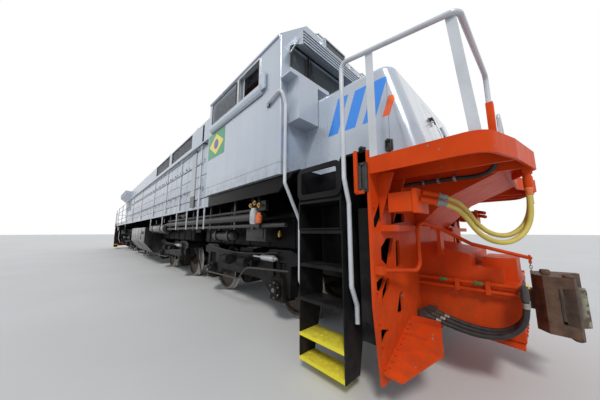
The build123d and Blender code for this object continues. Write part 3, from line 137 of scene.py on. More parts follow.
def turned(name, base, direction, radius, steps, sides=24):
    """A turned piece: a disc drawn out along its axis, each step a way forward and a new radius."""
    axis = Vector(direction).normalized()
    middle = Vector(base)
    bpy.ops.object.select_all(action="DESELECT")
    bpy.ops.mesh.primitive_circle_add(
        vertices=sides,
        radius=radius,
        fill_type="NGON",
        location=middle,
        rotation=axis.to_track_quat("Z", "Y").to_euler(),
    )
    piece = bpy.context.object
    piece.name = name
    bpy.ops.object.mode_set(mode="EDIT")
    bpy.ops.mesh.select_mode(type="FACE")
    bpy.ops.mesh.select_all(action="SELECT")
    for way, wide in steps:
        bpy.ops.mesh.extrude_region_move(TRANSFORM_OT_translate={"value": axis * way})
        middle = middle + axis * way
        if wide != radius:
            ratio = wide / radius
            bpy.ops.transform.resize(value=(ratio, ratio, ratio), center_override=middle)
            radius = wide
    bpy.ops.mesh.select_mode(type="EDGE")
    bpy.ops.mesh.select_all(action="DESELECT")
    bpy.ops.mesh.select_non_manifold()
    bpy.ops.mesh.edge_face_add()
    shut()
    return piece


def settle(piece, body, finish, angle=35.0):
    """A finished piece: its place goes into its mesh, it takes its finish and rides on its body."""
    bpy.ops.object.select_all(action="DESELECT")
    piece.select_set(True)
    bpy.context.view_layer.objects.active = piece
    bpy.ops.object.transform_apply(location=True, rotation=True, scale=True)
    bpy.ops.object.shade_smooth_by_angle(angle=math.radians(angle))
    piece.data.materials.clear()
    piece.data.materials.append(finish)
    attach(piece, body)
    return piece


def gathered(name, parts):
    """Several small parts of one piece, joined under one name."""
    bpy.ops.object.select_all(action="DESELECT")
    for part in parts:
        part.select_set(True)
    bpy.context.view_layer.objects.active = parts[0]
    bpy.ops.object.transform_apply(location=True, rotation=True, scale=True)
    if len(parts) > 1:
        bpy.ops.object.join()
    parts[0].name = name
    return parts[0]


cable_diameter = 0.034
shackle_length = 0.055
# each step of a turned piece: way along its axis, new radius
boot_rings = [(0.012, 0.029), (0.004, 0.025), (0.014, 0.0265), (0.004, 0.0235)]
boot_steps = boot_rings + [(0.03, 0.0215), (0.008, 0.0185)]
band_steps = [(0.002, 0.021), (0.03, 0.021), (0.004, 0.024), (0.016, 0.024), (0.003, 0.02)]
cable_jacket = surface("cable_jacket", ((0.5, 0.4, 0.07), (0.62, 0.5, 0.11)), 9.0, (0.38, 0.6), 160.0, 0.25)
boot_rubber = surface("boot_rubber", ((0.2, 0.2, 0.19), (0.3, 0.3, 0.28)), 20.0, (0.5, 0.7), 200.0, 0.3)
shackle_paint = surface("shackle_paint", ((0.7, 0.13, 0.03), (0.8, 0.2, 0.06)), 30.0, (0.3, 0.5), 150.0, 0.2)
cable_routes = [
    [
        (11.8, -1.16, 1.52),
        (11.886, -1.081, 1.495),
        (11.948, -1.025, 1.411),
        (11.992, -0.984, 1.308),
        (12.061, -0.921, 1.235),
        (12.148, -0.841, 1.225),
        (12.224, -0.771, 1.284),
        (12.268, -0.731, 1.387),
        (12.28, -0.72, 1.505),
        (12.28, -0.72, 1.624),
    ],
    [
        (11.8, -1.11, 1.572),
        (11.886, -1.03, 1.547),
        (11.948, -0.971, 1.462),
        (11.992, -0.93, 1.358),
        (12.061, -0.866, 1.284),
        (12.148, -0.784, 1.273),
        (12.224, -0.713, 1.334),
        (12.268, -0.671, 1.438),
        (12.28, -0.66, 1.557),
        (12.28, -0.66, 1.677),
    ],
]
for number, points in enumerate(cable_routes, start=1):
    cable = route(f"jumper_cable_jacket_{number}", points, cable_diameter, cable_jacket)
    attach(cable, "body")
    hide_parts(f"jumper_cable_{number}")
    start = Vector(points[0])
    out_of_box = Vector(points[1]) - start
    boot = turned(f"cable_boot_{number}", start, out_of_box, 0.027, boot_steps)
    settle(boot, "body", boot_rubber)
    band_foot = Vector(points[-1]) - Vector((0, 0, shackle_length))
    band = turned(f"cable_shackle_{number}", band_foot, (0, 0, 1), 0.0185, band_steps)
    settle(band, "body", shackle_paint)

# Brake hoses: three thick black rubber air hoses that hang from the train line's cocks, turn back under
# themselves and are stowed with their couplings on the draft gear box, with a steel band at each end.
hose_diameter = 0.04
rubber_tones = ((0.012, 0.012, 0.013), (0.03, 0.03, 0.031))
hose_rubber = surface("hose_rubber", rubber_tones, 14.0, (0.42, 0.62), 220.0, 0.35)
band_steel = surface("band_steel", ((0.3, 0.29, 0.27), (0.42, 0.4, 0.37)), 40.0, (0.3, 0.5), 300.0, 0.2, 0.8)
hose_routes = [
    [
        (12.18, -0.545, 0.8),
        (12.18, -0.545, 0.7),
        (12.134, -0.545, 0.6),
        (12.039, -0.545, 0.526),
        (11.912, -0.545, 0.499),
        (11.762, -0.545, 0.51),
        (11.615, -0.545, 0.541),
    ],
    [
        (12.18, -0.593, 0.8),
        (12.18, -0.593, 0.696),
        (12.132, -0.593, 0.592),
        (12.033, -0.593, 0.515),
        (11.901, -0.593, 0.487),
        (11.745, -0.593, 0.498),
        (11.593, -0.593, 0.531),
    ],
    [
        (12.18, -0.641, 0.8),
        (12.18, -0.641, 0.692),
        (12.13, -0.641, 0.584),
        (12.028, -0.641, 0.505),
        (11.89, -0.641, 0.475),
        (11.729, -0.641, 0.487),
        (11.57, -0.641, 0.52),
    ],
]
hose_lengths = [0.75, 0.78, 0.81]
end_ring = [(0.002, 0.0225), (0.016, 0.0225), (0.001, 0.021)]
end_band_steps = end_ring + [(0.008, 0.021), (0.001, 0.0225), (0.01, 0.0225)]
for number, (points, hose_length) in enumerate(zip(hose_routes, hose_lengths), start=1):
    hose = route(f"brake_hose_jacket_{number}", points, hose_diameter, hose_rubber)
    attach(hose, "body")
    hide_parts(f"brake_hose_{number}")
    bands = []
    for here, beyond in ((points[0], points[1]), (points[-1], points[-2])):
        inward = (Vector(beyond) - Vector(here)).normalized()
        bands.append(turned("hose_band", Vector(here) + inward * 0.012, inward, 0.0205, end_band_steps))
    clamps = settle(gathered(f"hose_bands_{number}", bands), "body", band_steel)

# Studio: a pale floor under the wheels, an even pale sky that the camera, metal and glass see as white, and
# one soft lamp as broad as a hazy sun, high up in front on the right.
bpy.ops.object.select_all(action="DESELECT")
bpy.ops.mesh.primitive_plane_add(size=300.0, location=(0.0, 0.0, -0.002))
floor = bpy.context.object
floor.name = "floor"
bpy.ops.object.transform_apply(location=True, rotation=True, scale=True)
floor_grey = surface("floor", ((0.6, 0.6, 0.6), (0.64, 0.64, 0.64)), 0.4, (0.8, 0.9), 30.0, 0.05)
floor.data.materials.append(floor_grey)
world = bpy.data.worlds.new("sky")
bpy.context.scene.world = world
world.use_nodes = True
sky = world.node_tree
sky.nodes.clear()
lit = node(sky, "Background", {"Color": (0.86, 0.92, 1.0, 1.0), "Strength": 0.6})
seen = node(sky, "Background", {"Color": (1.0, 1.0, 1.0, 1.0), "Strength": 1.0})
ray = node(sky, "LightPath")
looks_up = ray.outputs["Is Camera Ray"]
for kind in ("Is Glossy Ray", "Is Transmission Ray"):
    looks_up = node(sky, "Math", {0: looks_up, 1: ray.outputs[kind]}, "MAXIMUM").outputs[0]
blend_in = node(sky, "MixShader", {0: looks_up, 1: lit.outputs[0], 2: seen.outputs[0]})
node(sky, "OutputWorld", {"Surface": blend_in.outputs[0]})
sun_data = bpy.data.lights.new("sun", "SUN")
sun_data.energy = 1.7
sun_data.angle = math.radians(12.0)
sun_data.color = (1.0, 0.97, 0.92)
sun = bpy.data.objects.new("sun", sun_data)
bpy.context.scene.collection.objects.link(sun)
sun.rotation_mode = "QUATERNION"
sun.rotation_quaternion = Vector((-0.45, 0.55, -0.75)).to_track_quat("-Z", "Y")
bpy.context.scene.view_settings.view_transform = "Standard"


# Wheelsets: forged steel wheels pressed on their axles. The discs are dull and rusty, the treads and the rims
# are ground bright by the rail.
def zone(tree, x=None, y=None, z=None, lean=None):
    """A mask that is 1 between the given limits of place; across counts the same on both sides."""
    source = node(tree, "TexCoord").outputs["Object"]
    if lean:
        source = node(tree, "Mapping", {"Vector": source, "Rotation": lean}).outputs["Vector"]
    split = node(tree, "SeparateXYZ", {0: source})
    mask = None
    for axis, limits in (("X", x), ("Y", y), ("Z", z)):
        if limits is None:
            continue
        value = split.outputs[axis]
        if axis == "Y":
            value = node(tree, "Math", {0: value}, "ABSOLUTE").outputs[0]
        middle, half = (limits[0] + limits[1]) / 2, (limits[1] - limits[0]) / 2
        near = node(tree, "Math", {0: value, 1: middle, 2: half}, "COMPARE").outputs[0]
        mask = near if mask is None else both(tree, mask, near)
    return mask


def both(tree, one, other):
    """Where two masks meet."""
    return node(tree, "Math", {0: one, 1: other}, "MULTIPLY").outputs[0]


def coat_over(finish, mask, colour, rough):
    """A second coat, of another colour and gloss, over the area of a mask."""
    tree = finish.node_tree
    shader = tree.nodes["Principled BSDF"]
    for kind, name, value in (("RGBA", "Base Color", (*colour, 1.0)), ("FLOAT", "Roughness", rough)):
        mix = tree.nodes.new("ShaderNodeMix")
        mix.data_type = kind
        below, above, result = (6, 7, 2) if kind == "RGBA" else (2, 3, 0)
        under = shader.inputs[name].links[0].from_socket
        fill(tree, mix, {0: mask, below: under, above: value})
        tree.links.new(mix.outputs[result], shader.inputs[name])


def soil(finish, colour, thick, gone, most, patch=3.0, stretch=(1.0, 1.0, 1.0)):
    """Dust or dirt that is thick at one height and gone at another, broken up in patches or streaks."""
    tree = finish.node_tree
    place = node(tree, "TexCoord").outputs["Object"]
    up = node(tree, "SeparateXYZ", {0: place}).outputs["Z"]
    fade = {"From Min": thick, "From Max": gone, "To Min": most, "To Max": 0.0}
    height = node(tree, "MapRange", {"Value": up, **fade})
    drawn = node(tree, "Mapping", {"Vector": place, "Scale": stretch}).outputs["Vector"]
    ragged = {"Scale": patch, "Detail": 8.0, "Roughness": 0.65}
    patches = node(tree, "TexNoise", {"Vector": drawn, **ragged}).outputs["Fac"]
    broken = node(tree, "MapRange", {"Value": patches, "From Min": 0.4, "From Max": 0.66})
    coat_over(finish, both(tree, height.outputs[0], broken.outputs[0]), colour, 0.75)


def centre(name):
    """The middle of a CAD piece."""
    low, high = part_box(name)
    return (low + high) / 2


truck_centres = [centre(f"truck_frame_{number}").x for number in range(1, 5)]
half_wheelbase = 1.2
axle_height = centre("wheelset_1").z
tread_inner, tread_outer = 0.435, 0.452
axle_places = [x + side * half_wheelbase for x in truck_centres for side in (1, -1)]
wheel_tones = ((0.045, 0.03, 0.024), (0.1, 0.075, 0.058))
for number, axle_x in enumerate(axle_places, start=1):
    wheel_steel = surface(f"wheel_steel_{number}", wheel_tones, 12.0, (0.5, 0.75), 90.0, 0.35, 0.4)
    tree = wheel_steel.node_tree
    place = node(tree, "TexCoord").outputs["Object"]
    centred = node(tree, "Mapping", {"Vector": place, "Location": (-axle_x, 0.0, -axle_height)})
    flat = node(tree, "Mapping", {"Vector": centred.outputs["Vector"], "Scale": (1.0, 0.0, 1.0)})
    reach = node(tree, "VectorMath", {0: flat.outputs["Vector"]}, "LENGTH").outputs["Value"]
    ground = node(tree, "MapRange", {"Value": reach, "From Min": tread_inner, "From Max": tread_outer})
    coat_over(wheel_steel, ground.outputs["Result"], (0.5, 0.49, 0.47), 0.28)
    wheels = nodes[f"wheelset_{number}"]
    wheels.data.materials.clear()
    wheels.data.materials.append(wheel_steel)


# Trucks: cast steel frames and span bolsters in glossy black underframe paint, dusty from the road, with the
# axle boxes, springs, brake gear and motors in a duller black.
def dress(finish, *names):
    """The CAD pieces that wear one finish."""
    for name in names:
        nodes[name].data.materials.clear()
        nodes[name].data.materials.append(finish)


def block(name, middle, size):
    """A plain block cut to size, the start of a plate, a frame or a pan."""
    bpy.ops.object.select_all(action="DESELECT")
    bpy.ops.mesh.primitive_cube_add(size=1.0, location=middle, scale=size)
    piece = bpy.context.object
    piece.name = name
    bpy.ops.object.transform_apply(location=False, rotation=False, scale=True)
    return piece


def slab(name, middle, size, edge, turned_by=None):
    """A plate or box cut to size, with its edges rounded."""
    piece = block(name, middle, size)
    bpy.ops.object.mode_set(mode="EDIT")
    bpy.ops.mesh.select_mode(type="EDGE")
    bpy.ops.mesh.select_all(action="SELECT")
    bpy.ops.mesh.bevel(offset=edge, segments=2, affect="EDGES")
    bpy.ops.object.mode_set(mode="OBJECT")
    if turned_by is not None:
        piece.rotation_mode = "QUATERNION"
        piece.rotation_quaternion = turned_by
    return piece


def copied(piece, places):
    """A small piece made once at the origin, copied to each place with its own mesh, and joined."""
    name = piece.name
    gathered(name, [piece])
    copies = []
    for place in places:
        copy = piece.copy()
        copy.data = piece.data.copy()
        copy.data.transform(place if isinstance(place, Matrix) else Matrix.Translation(place))
        bpy.context.scene.collection.objects.link(copy)
        copies.append(copy)
    bpy.data.objects.remove(piece)
    return gathered(name, copies)


def facing(place, way):
    """The place of a small piece whose upright axis is turned to point a given way."""
    return Matrix.Translation(place) @ Vector(way).to_track_quat("Z", "Y").to_matrix().to_4x4()


road_dust = (0.1, 0.082, 0.065)
frame_tones = ((0.003, 0.003, 0.004), (0.009, 0.009, 0.01))
black_gloss = surface("black_gloss", frame_tones, 4.0, (0.28, 0.48), 120.0, 0.12, specular=0.14)
soil(black_gloss, road_dust, 0.1, 1.5, 0.2, 5.0)
gear_tones = ((0.004, 0.004, 0.005), (0.012, 0.011, 0.011))
dull_black = surface("dull_black", gear_tones, 7.0, (0.4, 0.7), 140.0, 0.4, specular=0.12)
soil(dull_black, road_dust, 0.1, 1.4, 0.28, 7.0)
for number in range(1, 5):
    dress(black_gloss, f"truck_frame_{number}")
    dress(dull_black, f"truck_gear_{number}", f"traction_motors_{number}")
dress(black_gloss, "span_bolster_front", "span_bolster_rear")

# Axle box fastenings: six bolts round the cover of each axle box and a grease plug at its middle, in zinc
# plated steel gone dull, screwed into the castings.
zinc = surface("zinc", ((0.22, 0.21, 0.2), (0.38, 0.37, 0.35)), 40.0, (0.35, 0.55), 260.0, 0.2, 0.7)
cover_bolts = 6
bolt_circle = 0.102
cover_face, plug_face = 1.015, 1.035
hexagon = [(0.003, 0.013), (0.0, 0.009), (0.009, 0.009)]
plug_steps = [(0.006, 0.028), (0.0, 0.014), (0.01, 0.012)]
for truck, truck_x in enumerate(truck_centres, start=1):
    bolt_places, plug_places = [], []
    for axle_x in (truck_x - half_wheelbase, truck_x + half_wheelbase):
        for side in (-1, 1):
            plug_places.append(facing((axle_x, side * plug_face, axle_height), (0, side, 0)))
            for k in range(cover_bolts):
                angle = math.radians(30 + 360 / cover_bolts * k)
                across = axle_x + bolt_circle * math.cos(angle)
                height = axle_height + bolt_circle * math.sin(angle)
                bolt_places.append(facing((across, side * cover_face, height), (0, side, 0)))
    bolt = turned(f"axle_bolts_{truck}", (0, 0, 0), (0, 0, 1), 0.013, hexagon, 6)
    settle(copied(bolt, bolt_places), f"truck_{truck}", zinc)
    plug = turned(f"grease_plugs_{truck}", (0, 0, 0), (0, 0, 1), 0.03, plug_steps, 12)
    settle(copied(plug, plug_places), f"truck_{truck}", zinc)

# Underframe, tanks and pipes: welded steel below the deck in the same glossy black, with the fuel tank and
# the air reservoirs between the trucks and the pipes and cocks along the sill.
sill_tones = ((0.005, 0.005, 0.006), (0.01, 0.01, 0.011))
sill_black = surface("sill_black", sill_tones, 1.5, (0.1, 0.22), 60.0, 0.05, specular=0.06)
soil(sill_black, road_dust, 1.2, 1.85, 0.2, 2.5)
dress(sill_black, "underframe")
tank_tones = ((0.008, 0.008, 0.009), (0.016, 0.016, 0.018))
tank_black = surface("tank_black", tank_tones, 2.0, (0.14, 0.3), 60.0, 0.06)
soil(tank_black, road_dust, 0.4, 1.3, 0.6, 2.0, (1.0, 1.0, 0.3))
dress(tank_black, "fuel_tank", "air_reservoirs")
pipe_tones = ((0.012, 0.012, 0.013), (0.03, 0.03, 0.031))
pipe_black = surface("pipe_black", pipe_tones, 9.0, (0.3, 0.5), 120.0, 0.2)
soil(pipe_black, road_dust, 1.0, 1.7, 0.5, 6.0)
dress(pipe_black, "sill_piping", "engine_block", "hose_fittings")

# Tank fittings: on each side a filler neck with its cap and an upright level gauge, screwed on, and drop
# pipes from the walkway drains in light grey, welded to the sill.
drain_grey = surface("drain_grey", ((0.4, 0.42, 0.45), (0.52, 0.55, 0.58)), 14.0, (0.3, 0.5), 120.0, 0.15)
tank_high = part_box("fuel_tank")[1]
filler_steps = [(0.03, 0.05), (0.0, 0.062), (0.016, 0.062), (0.008, 0.055), (0.0, 0.02), (0.014, 0.018)]
fillers = []
for side in (-1, 1):
    filler_at = (1.2, side * (tank_high.y - 0.004), tank_high.z - 0.22)
    fillers.append(turned("filler", filler_at, (0, side, 0), 0.05, filler_steps))
    gauge_at = (0.85, side * (tank_high.y + 0.006), tank_high.z - 0.32)
    fillers.append(slab("gauge", gauge_at, (0.05, 0.016, 0.4), 0.004))
settle(gathered("tank_fillers", fillers), "body", zinc)
drain_places = (7.95, 7.6, 6.9, 6.1, 4.6, 2.9)
drop_steps = [(0.06, 0.016), (0.0, 0.02), (0.03, 0.02), (0.0, 0.016), (0.3, 0.016), (0.02, 0.013)]
drops = []
for x in drain_places:
    for side in (-1, 1):
        drops.append(turned("drop", (x, side * 1.43, 1.765), (0, 0, -1), 0.016, drop_steps, 12))
settle(gathered("drain_pipes", drops), "body", drain_grey)

# Air ducts and sand boxes: folded sheet ducts that carry cooling air along each side of the centre sill to
# the motors, in ribbed lengths, and the sand boxes behind the corner steps, with their lids and outlets.
duct_side, duct_height = 0.74, 1.28
duct_lengths = ((2.3, 5.72), (6.58, 10.15))
ribs = 6
corners = [(end, side) for end in (1, -1) for side in (-1, 1)]
ducts = []
for end, side in corners:
    for rear_x, front_x in duct_lengths:
        duct_at = (end * (rear_x + front_x) / 2, side * duct_side, duct_height)
        ducts.append(slab("duct", duct_at, (front_x - rear_x, 0.22, 0.44), 0.02))
        for k in range(ribs):
            x = rear_x + 0.25 + k * (front_x - rear_x - 0.5) / (ribs - 1)
            rib_at = (end * x, side * duct_side, duct_height)
            ducts.append(slab("duct_rib", rib_at, (0.03, 0.25, 0.45), 0.006))
    ducts.append(slab("sand_box", (end * 10.7, side * 0.82, 1.42), (0.78, 0.54, 1.02), 0.03))
    ducts.append(slab("sand_lid", (end * 10.7, side * 1.093, 1.72), (0.3, 0.03, 0.22), 0.012))
    ducts.append(slab("sand_foot", (end * 10.62, side * 0.82, 0.88), (0.3, 0.24, 0.16), 0.03))
settle(gathered("air_ducts", ducts), "body", dull_black)

# Brake equipment below the cab: a filter with its light body and orange bowl, a valve rack, a long control
# reservoir on straps, a dark equipment box and brass cocks, on both sides and again below the hood's end.
grey_tones = ((0.42, 0.43, 0.44), (0.55, 0.56, 0.57))
bright_grey = surface("filter_grey", grey_tones, 22.0, (0.25, 0.4), 160.0, 0.1, 0.3)
brass = surface("brass", ((0.35, 0.2, 0.06), (0.5, 0.32, 0.1)), 30.0, (0.3, 0.5), 180.0, 0.2, 0.9)
body_steps = [(0.02, 0.055), (0.15, 0.055), (0.02, 0.04), (0.03, 0.04)]
bowl_steps = [(0.02, 0.042), (0.08, 0.045), (0.01, 0.03), (0.03, 0.028)]
cock_steps = [(0.03, 0.024), (0.004, 0.034), (0.02, 0.034), (0.0, 0.012), (0.02, 0.012)]
drain_cock_steps = [(0.03, 0.034), (0.03, 0.034), (0.0, 0.018), (0.03, 0.018)]
reservoir_steps = [(0.03, 0.088), (0.8, 0.088), (0.03, 0.05)]
bowls, bodies, racks, cocks = [], [], [], []
for end, side in corners:
    outer, inner = side * 1.355, side * 1.09
    bodies.append(turned("filter", (end * 9.6, outer, 1.41), (0, 0, 1), 0.045, body_steps, 20))
    bowls.append(turned("bowl", (end * 9.73, outer, 1.42), (0, 0, 1), 0.03, bowl_steps, 20))
    for x, z in ((9.55, 1.67), (9.65, 1.7), (9.76, 1.66)):
        cocks.append(turned("cock", (end * x, side * 1.33, z), (0, side, 0), 0.024, cock_steps, 10))
    racks.append(slab("rack", (end * 9.66, side * 1.3, 1.66), (0.36, 0.06, 0.14), 0.01))
    racks.append(slab("rack_leg", (end * 9.66, side * 1.3, 1.6), (0.05, 0.05, 0.5), 0.008))
    racks.append(slab("box", (end * 9.3, side * 1.02, 1.3), (0.56, 0.24, 0.28), 0.02))
    racks.append(slab("box_lid", (end * 9.3, side * 1.145, 1.3), (0.46, 0.016, 0.2), 0.006))
    racks.append(slab("box_hanger", (end * 9.3, side * 1.02, 1.68), (0.06, 0.05, 0.54), 0.008))
    drain_at = (end * 9.74, side * 1.0, 1.23)
    cocks.append(turned("brass_cock", drain_at, (0, 0, 1), 0.028, drain_cock_steps, 8))
    racks.append(turned("reservoir", (end * 7.72, inner, 1.235), (end, 0, 0), 0.05, reservoir_steps, 28))
    for x in (7.9, 8.42):
        racks.append(slab("strap", (end * x, inner, 1.235), (0.04, 0.2, 0.2), 0.05))
        racks.append(slab("strap_hanger", (end * x, inner, 1.62), (0.04, 0.03, 0.66), 0.006))
settle(gathered("filter_bodies", bodies), "body", bright_grey)
settle(gathered("filter_bowls", bowls), "body", shackle_paint)
settle(gathered("brake_racks", racks), "body", pipe_black)
settle(gathered("air_cocks", cocks), "body", brass)


# Truck piping: on each side frame a bent brake pipe, a damper with bright cover above the outer axle, and the
# sand pipes that lead down to the rail before the wheels; steel tube, clipped to the frame's castings.
def piped(name, points, diameter, finish, rounds=6, steps=10):
    """A bent pipe along a route, made a mesh."""
    line = route(name, points, diameter, finish)
    bpy.ops.object.select_all(action="DESELECT")
    line.select_set(True)
    bpy.context.view_layer.objects.active = line
    line.data.bevel_resolution = rounds
    line.data.resolution_u = steps
    bpy.ops.object.convert(target="MESH")
    return bpy.context.object


# places along, across and up from the truck's middle at the flanges' foot
low_pipe = [
    (-0.97, 1.13, 0.5),
    (0.3, 1.13, 0.53),
    (0.38, 1.13, 0.54),
    (0.46, 1.13, 0.62),
    (0.6, 1.13, 0.73),
    (0.67, 1.13, 0.75),
    (1.0, 1.12, 0.77),
    (1.62, 1.1, 0.8),
]
top_pipe = [(-1.2, 0.96, 1.0), (-0.5, 0.96, 0.93), (0.5, 0.96, 0.93), (1.2, 0.96, 1.0)]
sand_pipe = [(1.6, 0.78, 0.95), (1.69, 0.72, 0.8), (1.7, 0.62, 0.5), (1.69, 0.54, 0.24), (1.66, 0.53, 0.12)]
other_sand_pipe = [(-along, across, up) for along, across, up in sand_pipe]
damper_cover = [(0.0, 0.04), (0.02, 0.045), (0.28, 0.045), (0.02, 0.04)]
damper_steps = [(0.24, 0.014)] + damper_cover + [(0.0, 0.02), (0.06, 0.02)]
bores = ((low_pipe, 0.028), (top_pipe, 0.022), (sand_pipe, 0.036), (other_sand_pipe, 0.036))
for truck, truck_x in enumerate(truck_centres, start=1):
    way = 1 if truck_x > 0 else -1
    pipes, dampers = [], []
    for side in (-1, 1):
        for points, bore in bores:
            placed = [(truck_x + way * x, side * y, z) for x, y, z in points]
            pipes.append(piped("pipe", placed, bore, pipe_black, 2, 5))
        damper_foot = (truck_x + way * 0.6, side * 0.985, 0.912)
        dampers.append(turned("damper", damper_foot, (way, 0, 0), 0.014, damper_steps, 20))
    settle(gathered(f"truck_pipes_{truck}", pipes), f"truck_{truck}", pipe_black)
    settle(gathered(f"truck_dampers_{truck}", dampers), f"truck_{truck}", bright_grey)

# Walkway skirts, hood and hood doors: folded sheet steel in silver-grey metallic paint, with vertical rain
# streaks and a dirty foot; every door is sprayed apart, so its tone differs a little from the next one's.
silver_tones = ((0.42, 0.475, 0.555), (0.49, 0.545, 0.625))
grime = (0.2, 0.19, 0.18)
rain_streak = (0.34, 0.37, 0.41)
silver = surface("silver", silver_tones, 0.8, (0.24, 0.4), 70.0, 0.05, 0.3, 0.3)
soil(silver, grime, 1.9, 2.5, 0.5, 6.0, (1.0, 1.0, 0.25))
soil(silver, rain_streak, 1.9, 5.5, 0.22, 9.0, (1.0, 1.0, 0.06))
dress(silver, "walkway_skirts", "cab_rear_wall", "cab_door_left", "cab_door_right", "cab_ledges")
hood_silver = surface("hood_silver", silver_tones, 0.8, (0.24, 0.4), 70.0, 0.05, 0.3, 0.3)
soil(hood_silver, (0.3, 0.32, 0.35), 2.0, 5.5, 0.25, 9.0, (1.0, 1.0, 0.06))
grille_grey = (0.13, 0.14, 0.155)
tree = hood_silver.node_tree
for x in ((0.9, 3.1), (3.4, 5.6)):
    coat_over(hood_silver, zone(tree, x, (0.97, 1.0485), (3.72, 4.15)), grille_grey, 0.55)
coat_over(hood_silver, zone(tree, (6.435, 6.565), (0.9, 1.0485), (3.6, 4.15)), (0.05, 0.05, 0.055), 0.5)
dress(hood_silver, "long_hood", "roof_gear")
door_pitch = 0.61
door_silver = surface("door_silver", silver_tones, 0.8, (0.26, 0.42), 70.0, 0.06, 0.3, 0.3)
tree = door_silver.node_tree
place = node(tree, "TexCoord").outputs["Object"]
stepped = node(tree, "VectorMath", {0: place, 1: (door_pitch, 0.8, 0.765)}, "SNAP").outputs[0]
chance = node(tree, "TexWhiteNoise", {"Vector": stepped}).outputs["Value"]
shade = node(tree, "MapRange", {"Value": chance, "To Max": 0.4})
coat_over(door_silver, shade.outputs["Result"], (0.44, 0.47, 0.52), 0.38)
soil(door_silver, grime, 2.0, 2.9, 0.35, 7.0, (1.0, 1.0, 0.2))
dress(door_silver, "hood_doors")
wing_silver = surface("wing_silver", silver_tones, 0.8, (0.26, 0.42), 70.0, 0.05, 0.3, 0.3)
wing_slot = zone(wing_silver.node_tree, (-10.35, -7.45), (1.3, 1.39), (3.98, 4.18))
coat_over(wing_silver, wing_slot, grille_grey, 0.6)
soil(wing_silver, (0.3, 0.31, 0.33), 3.0, 5.5, 0.5, 9.0, (1.0, 1.0, 0.08))
dress(wing_silver, "radiator_wings")
fan_grey = surface("fan_grey", ((0.1, 0.105, 0.115), (0.17, 0.175, 0.185)), 6.0, (0.4, 0.6), 90.0, 0.2, 0.2)
dress(fan_grey, "radiator_fan")

# Hood door latches: on every door a dark T handle of cast iron on its round plate, held by its shaft. The
# left doors and the right ones have the same latch, turned round.
fitting_tones = ((0.015, 0.015, 0.016), (0.035, 0.035, 0.036))
fitting_black = surface("fitting_black", fitting_tones, 30.0, (0.35, 0.5), 150.0, 0.2)
shaft_steps = [(0.004, 0.026), (0.003, 0.012), (0.014, 0.01)]
latch_plate = turned("plate", (0, 0, 0), (0, 1, 0), 0.026, shaft_steps, 12)
grip = slab("grip", (0, 0.024, 0), (0.016, 0.01, 0.09), 0.003)
handle = gathered("door_latches", [latch_plate, grip])
doors_in_row = 23
first_door_x = -7.08
latch_places = []
for k in range(doors_in_row):
    x = first_door_x + door_pitch * (k + 0.82)
    for z in (2.45, 3.2):
        for side in (-1, 1):
            turn_round = Matrix.Rotation(math.pi if side < 0 else 0.0, 4, "Z")
            latch_places.append(Matrix.Translation((x, side * 0.964, z)) @ turn_round)
settle(copied(handle, latch_places), "body", fitting_black)


# Hood end and radiator screens: a hinged access door and grab irons on the end wall, and framed screens of
# flat bars over the radiator intakes on both sides, below the wings, bolted to the hood's sheet.
def choose(piece, kind, wanted):
    """Opens a piece for an edit, with only the wanted edges or faces selected."""
    bpy.ops.object.mode_set(mode="EDIT")
    bpy.ops.mesh.select_mode(type=kind)
    bpy.ops.mesh.select_all(action="DESELECT")
    bpy.ops.object.mode_set(mode="OBJECT")
    for part in piece.data.edges if kind == "EDGE" else piece.data.polygons:
        part.select = wanted(part)
    bpy.ops.object.mode_set(mode="EDIT")


def surround(name, middle, size, width, edge, corner=0.0):
    """A frame, broad across the way it is thinnest: a plate inset on both faces and opened through."""
    thin = min(range(3), key=lambda i: size[i])
    piece = block(name, middle, size)

    def upright(side):
        one, other = (piece.data.vertices[v].co for v in side.vertices)
        return abs(one[thin] - other[thin]) > size[thin] / 2

    if corner:
        choose(piece, "EDGE", upright)
        bpy.ops.mesh.bevel(offset=corner, segments=4, affect="EDGES")
        bpy.ops.object.mode_set(mode="OBJECT")
    choose(piece, "FACE", lambda side: abs(side.normal[thin]) > 0.9)
    bpy.ops.mesh.inset(thickness=width)
    bpy.ops.mesh.bridge_edge_loops()
    bpy.ops.mesh.select_mode(type="EDGE")
    bpy.ops.mesh.select_all(action="SELECT")
    bpy.ops.mesh.bevel(offset=edge, segments=1, affect="EDGES", clamp_overlap=True)
    shut()
    return piece


aluminium = surface("aluminium", ((0.5, 0.51, 0.52), (0.62, 0.63, 0.64)), 12.0, (0.28, 0.4), 200.0, 0.1, 0.75)
hood_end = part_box("long_hood")[0].x
bar_pitch = 0.032
screen_bars = 21
screens, screen_places, iron_places = [], [], []
for side in (-1, 1):
    for x in (-9.65, -8.15):
        screens.append(surround("screen_frame", (x, side * 0.957, 3.2), (1.36, 0.018, 0.76), 0.045, 0.004))
        screen_places.append(Matrix.Translation((x, side * 0.952, 3.2)))
    for z in (2.5, 2.85, 3.2):
        iron_places.append(Matrix.Translation((hood_end, side * 0.72, z)))
door_frame_at = (hood_end - 0.006, 0.0, 2.85)
screens.append(surround("end_door_frame", door_frame_at, (0.016, 0.66, 1.36), 0.03, 0.004, 0.04))
screens.append(slab("end_door", (hood_end - 0.008, 0.0, 2.85), (0.016, 0.58, 1.28), 0.006))
for z in (2.4, 2.85, 3.3):
    screens.append(slab("hinge", (hood_end - 0.02, 0.31, z), (0.016, 0.05, 0.09), 0.004))
settle(gathered("screen_frames", screens), "body", silver)
blade = slab("screen_bars", (0.0, 0.0, 0.0), (1.28, 0.01, 0.012), 0.003)
rises = [bar_pitch * (k - screen_bars // 2) for k in range(screen_bars)]
blade_places = [place @ Matrix.Translation((0, 0, rise)) for place in screen_places for rise in rises]
settle(copied(blade, blade_places), "body", fan_grey)
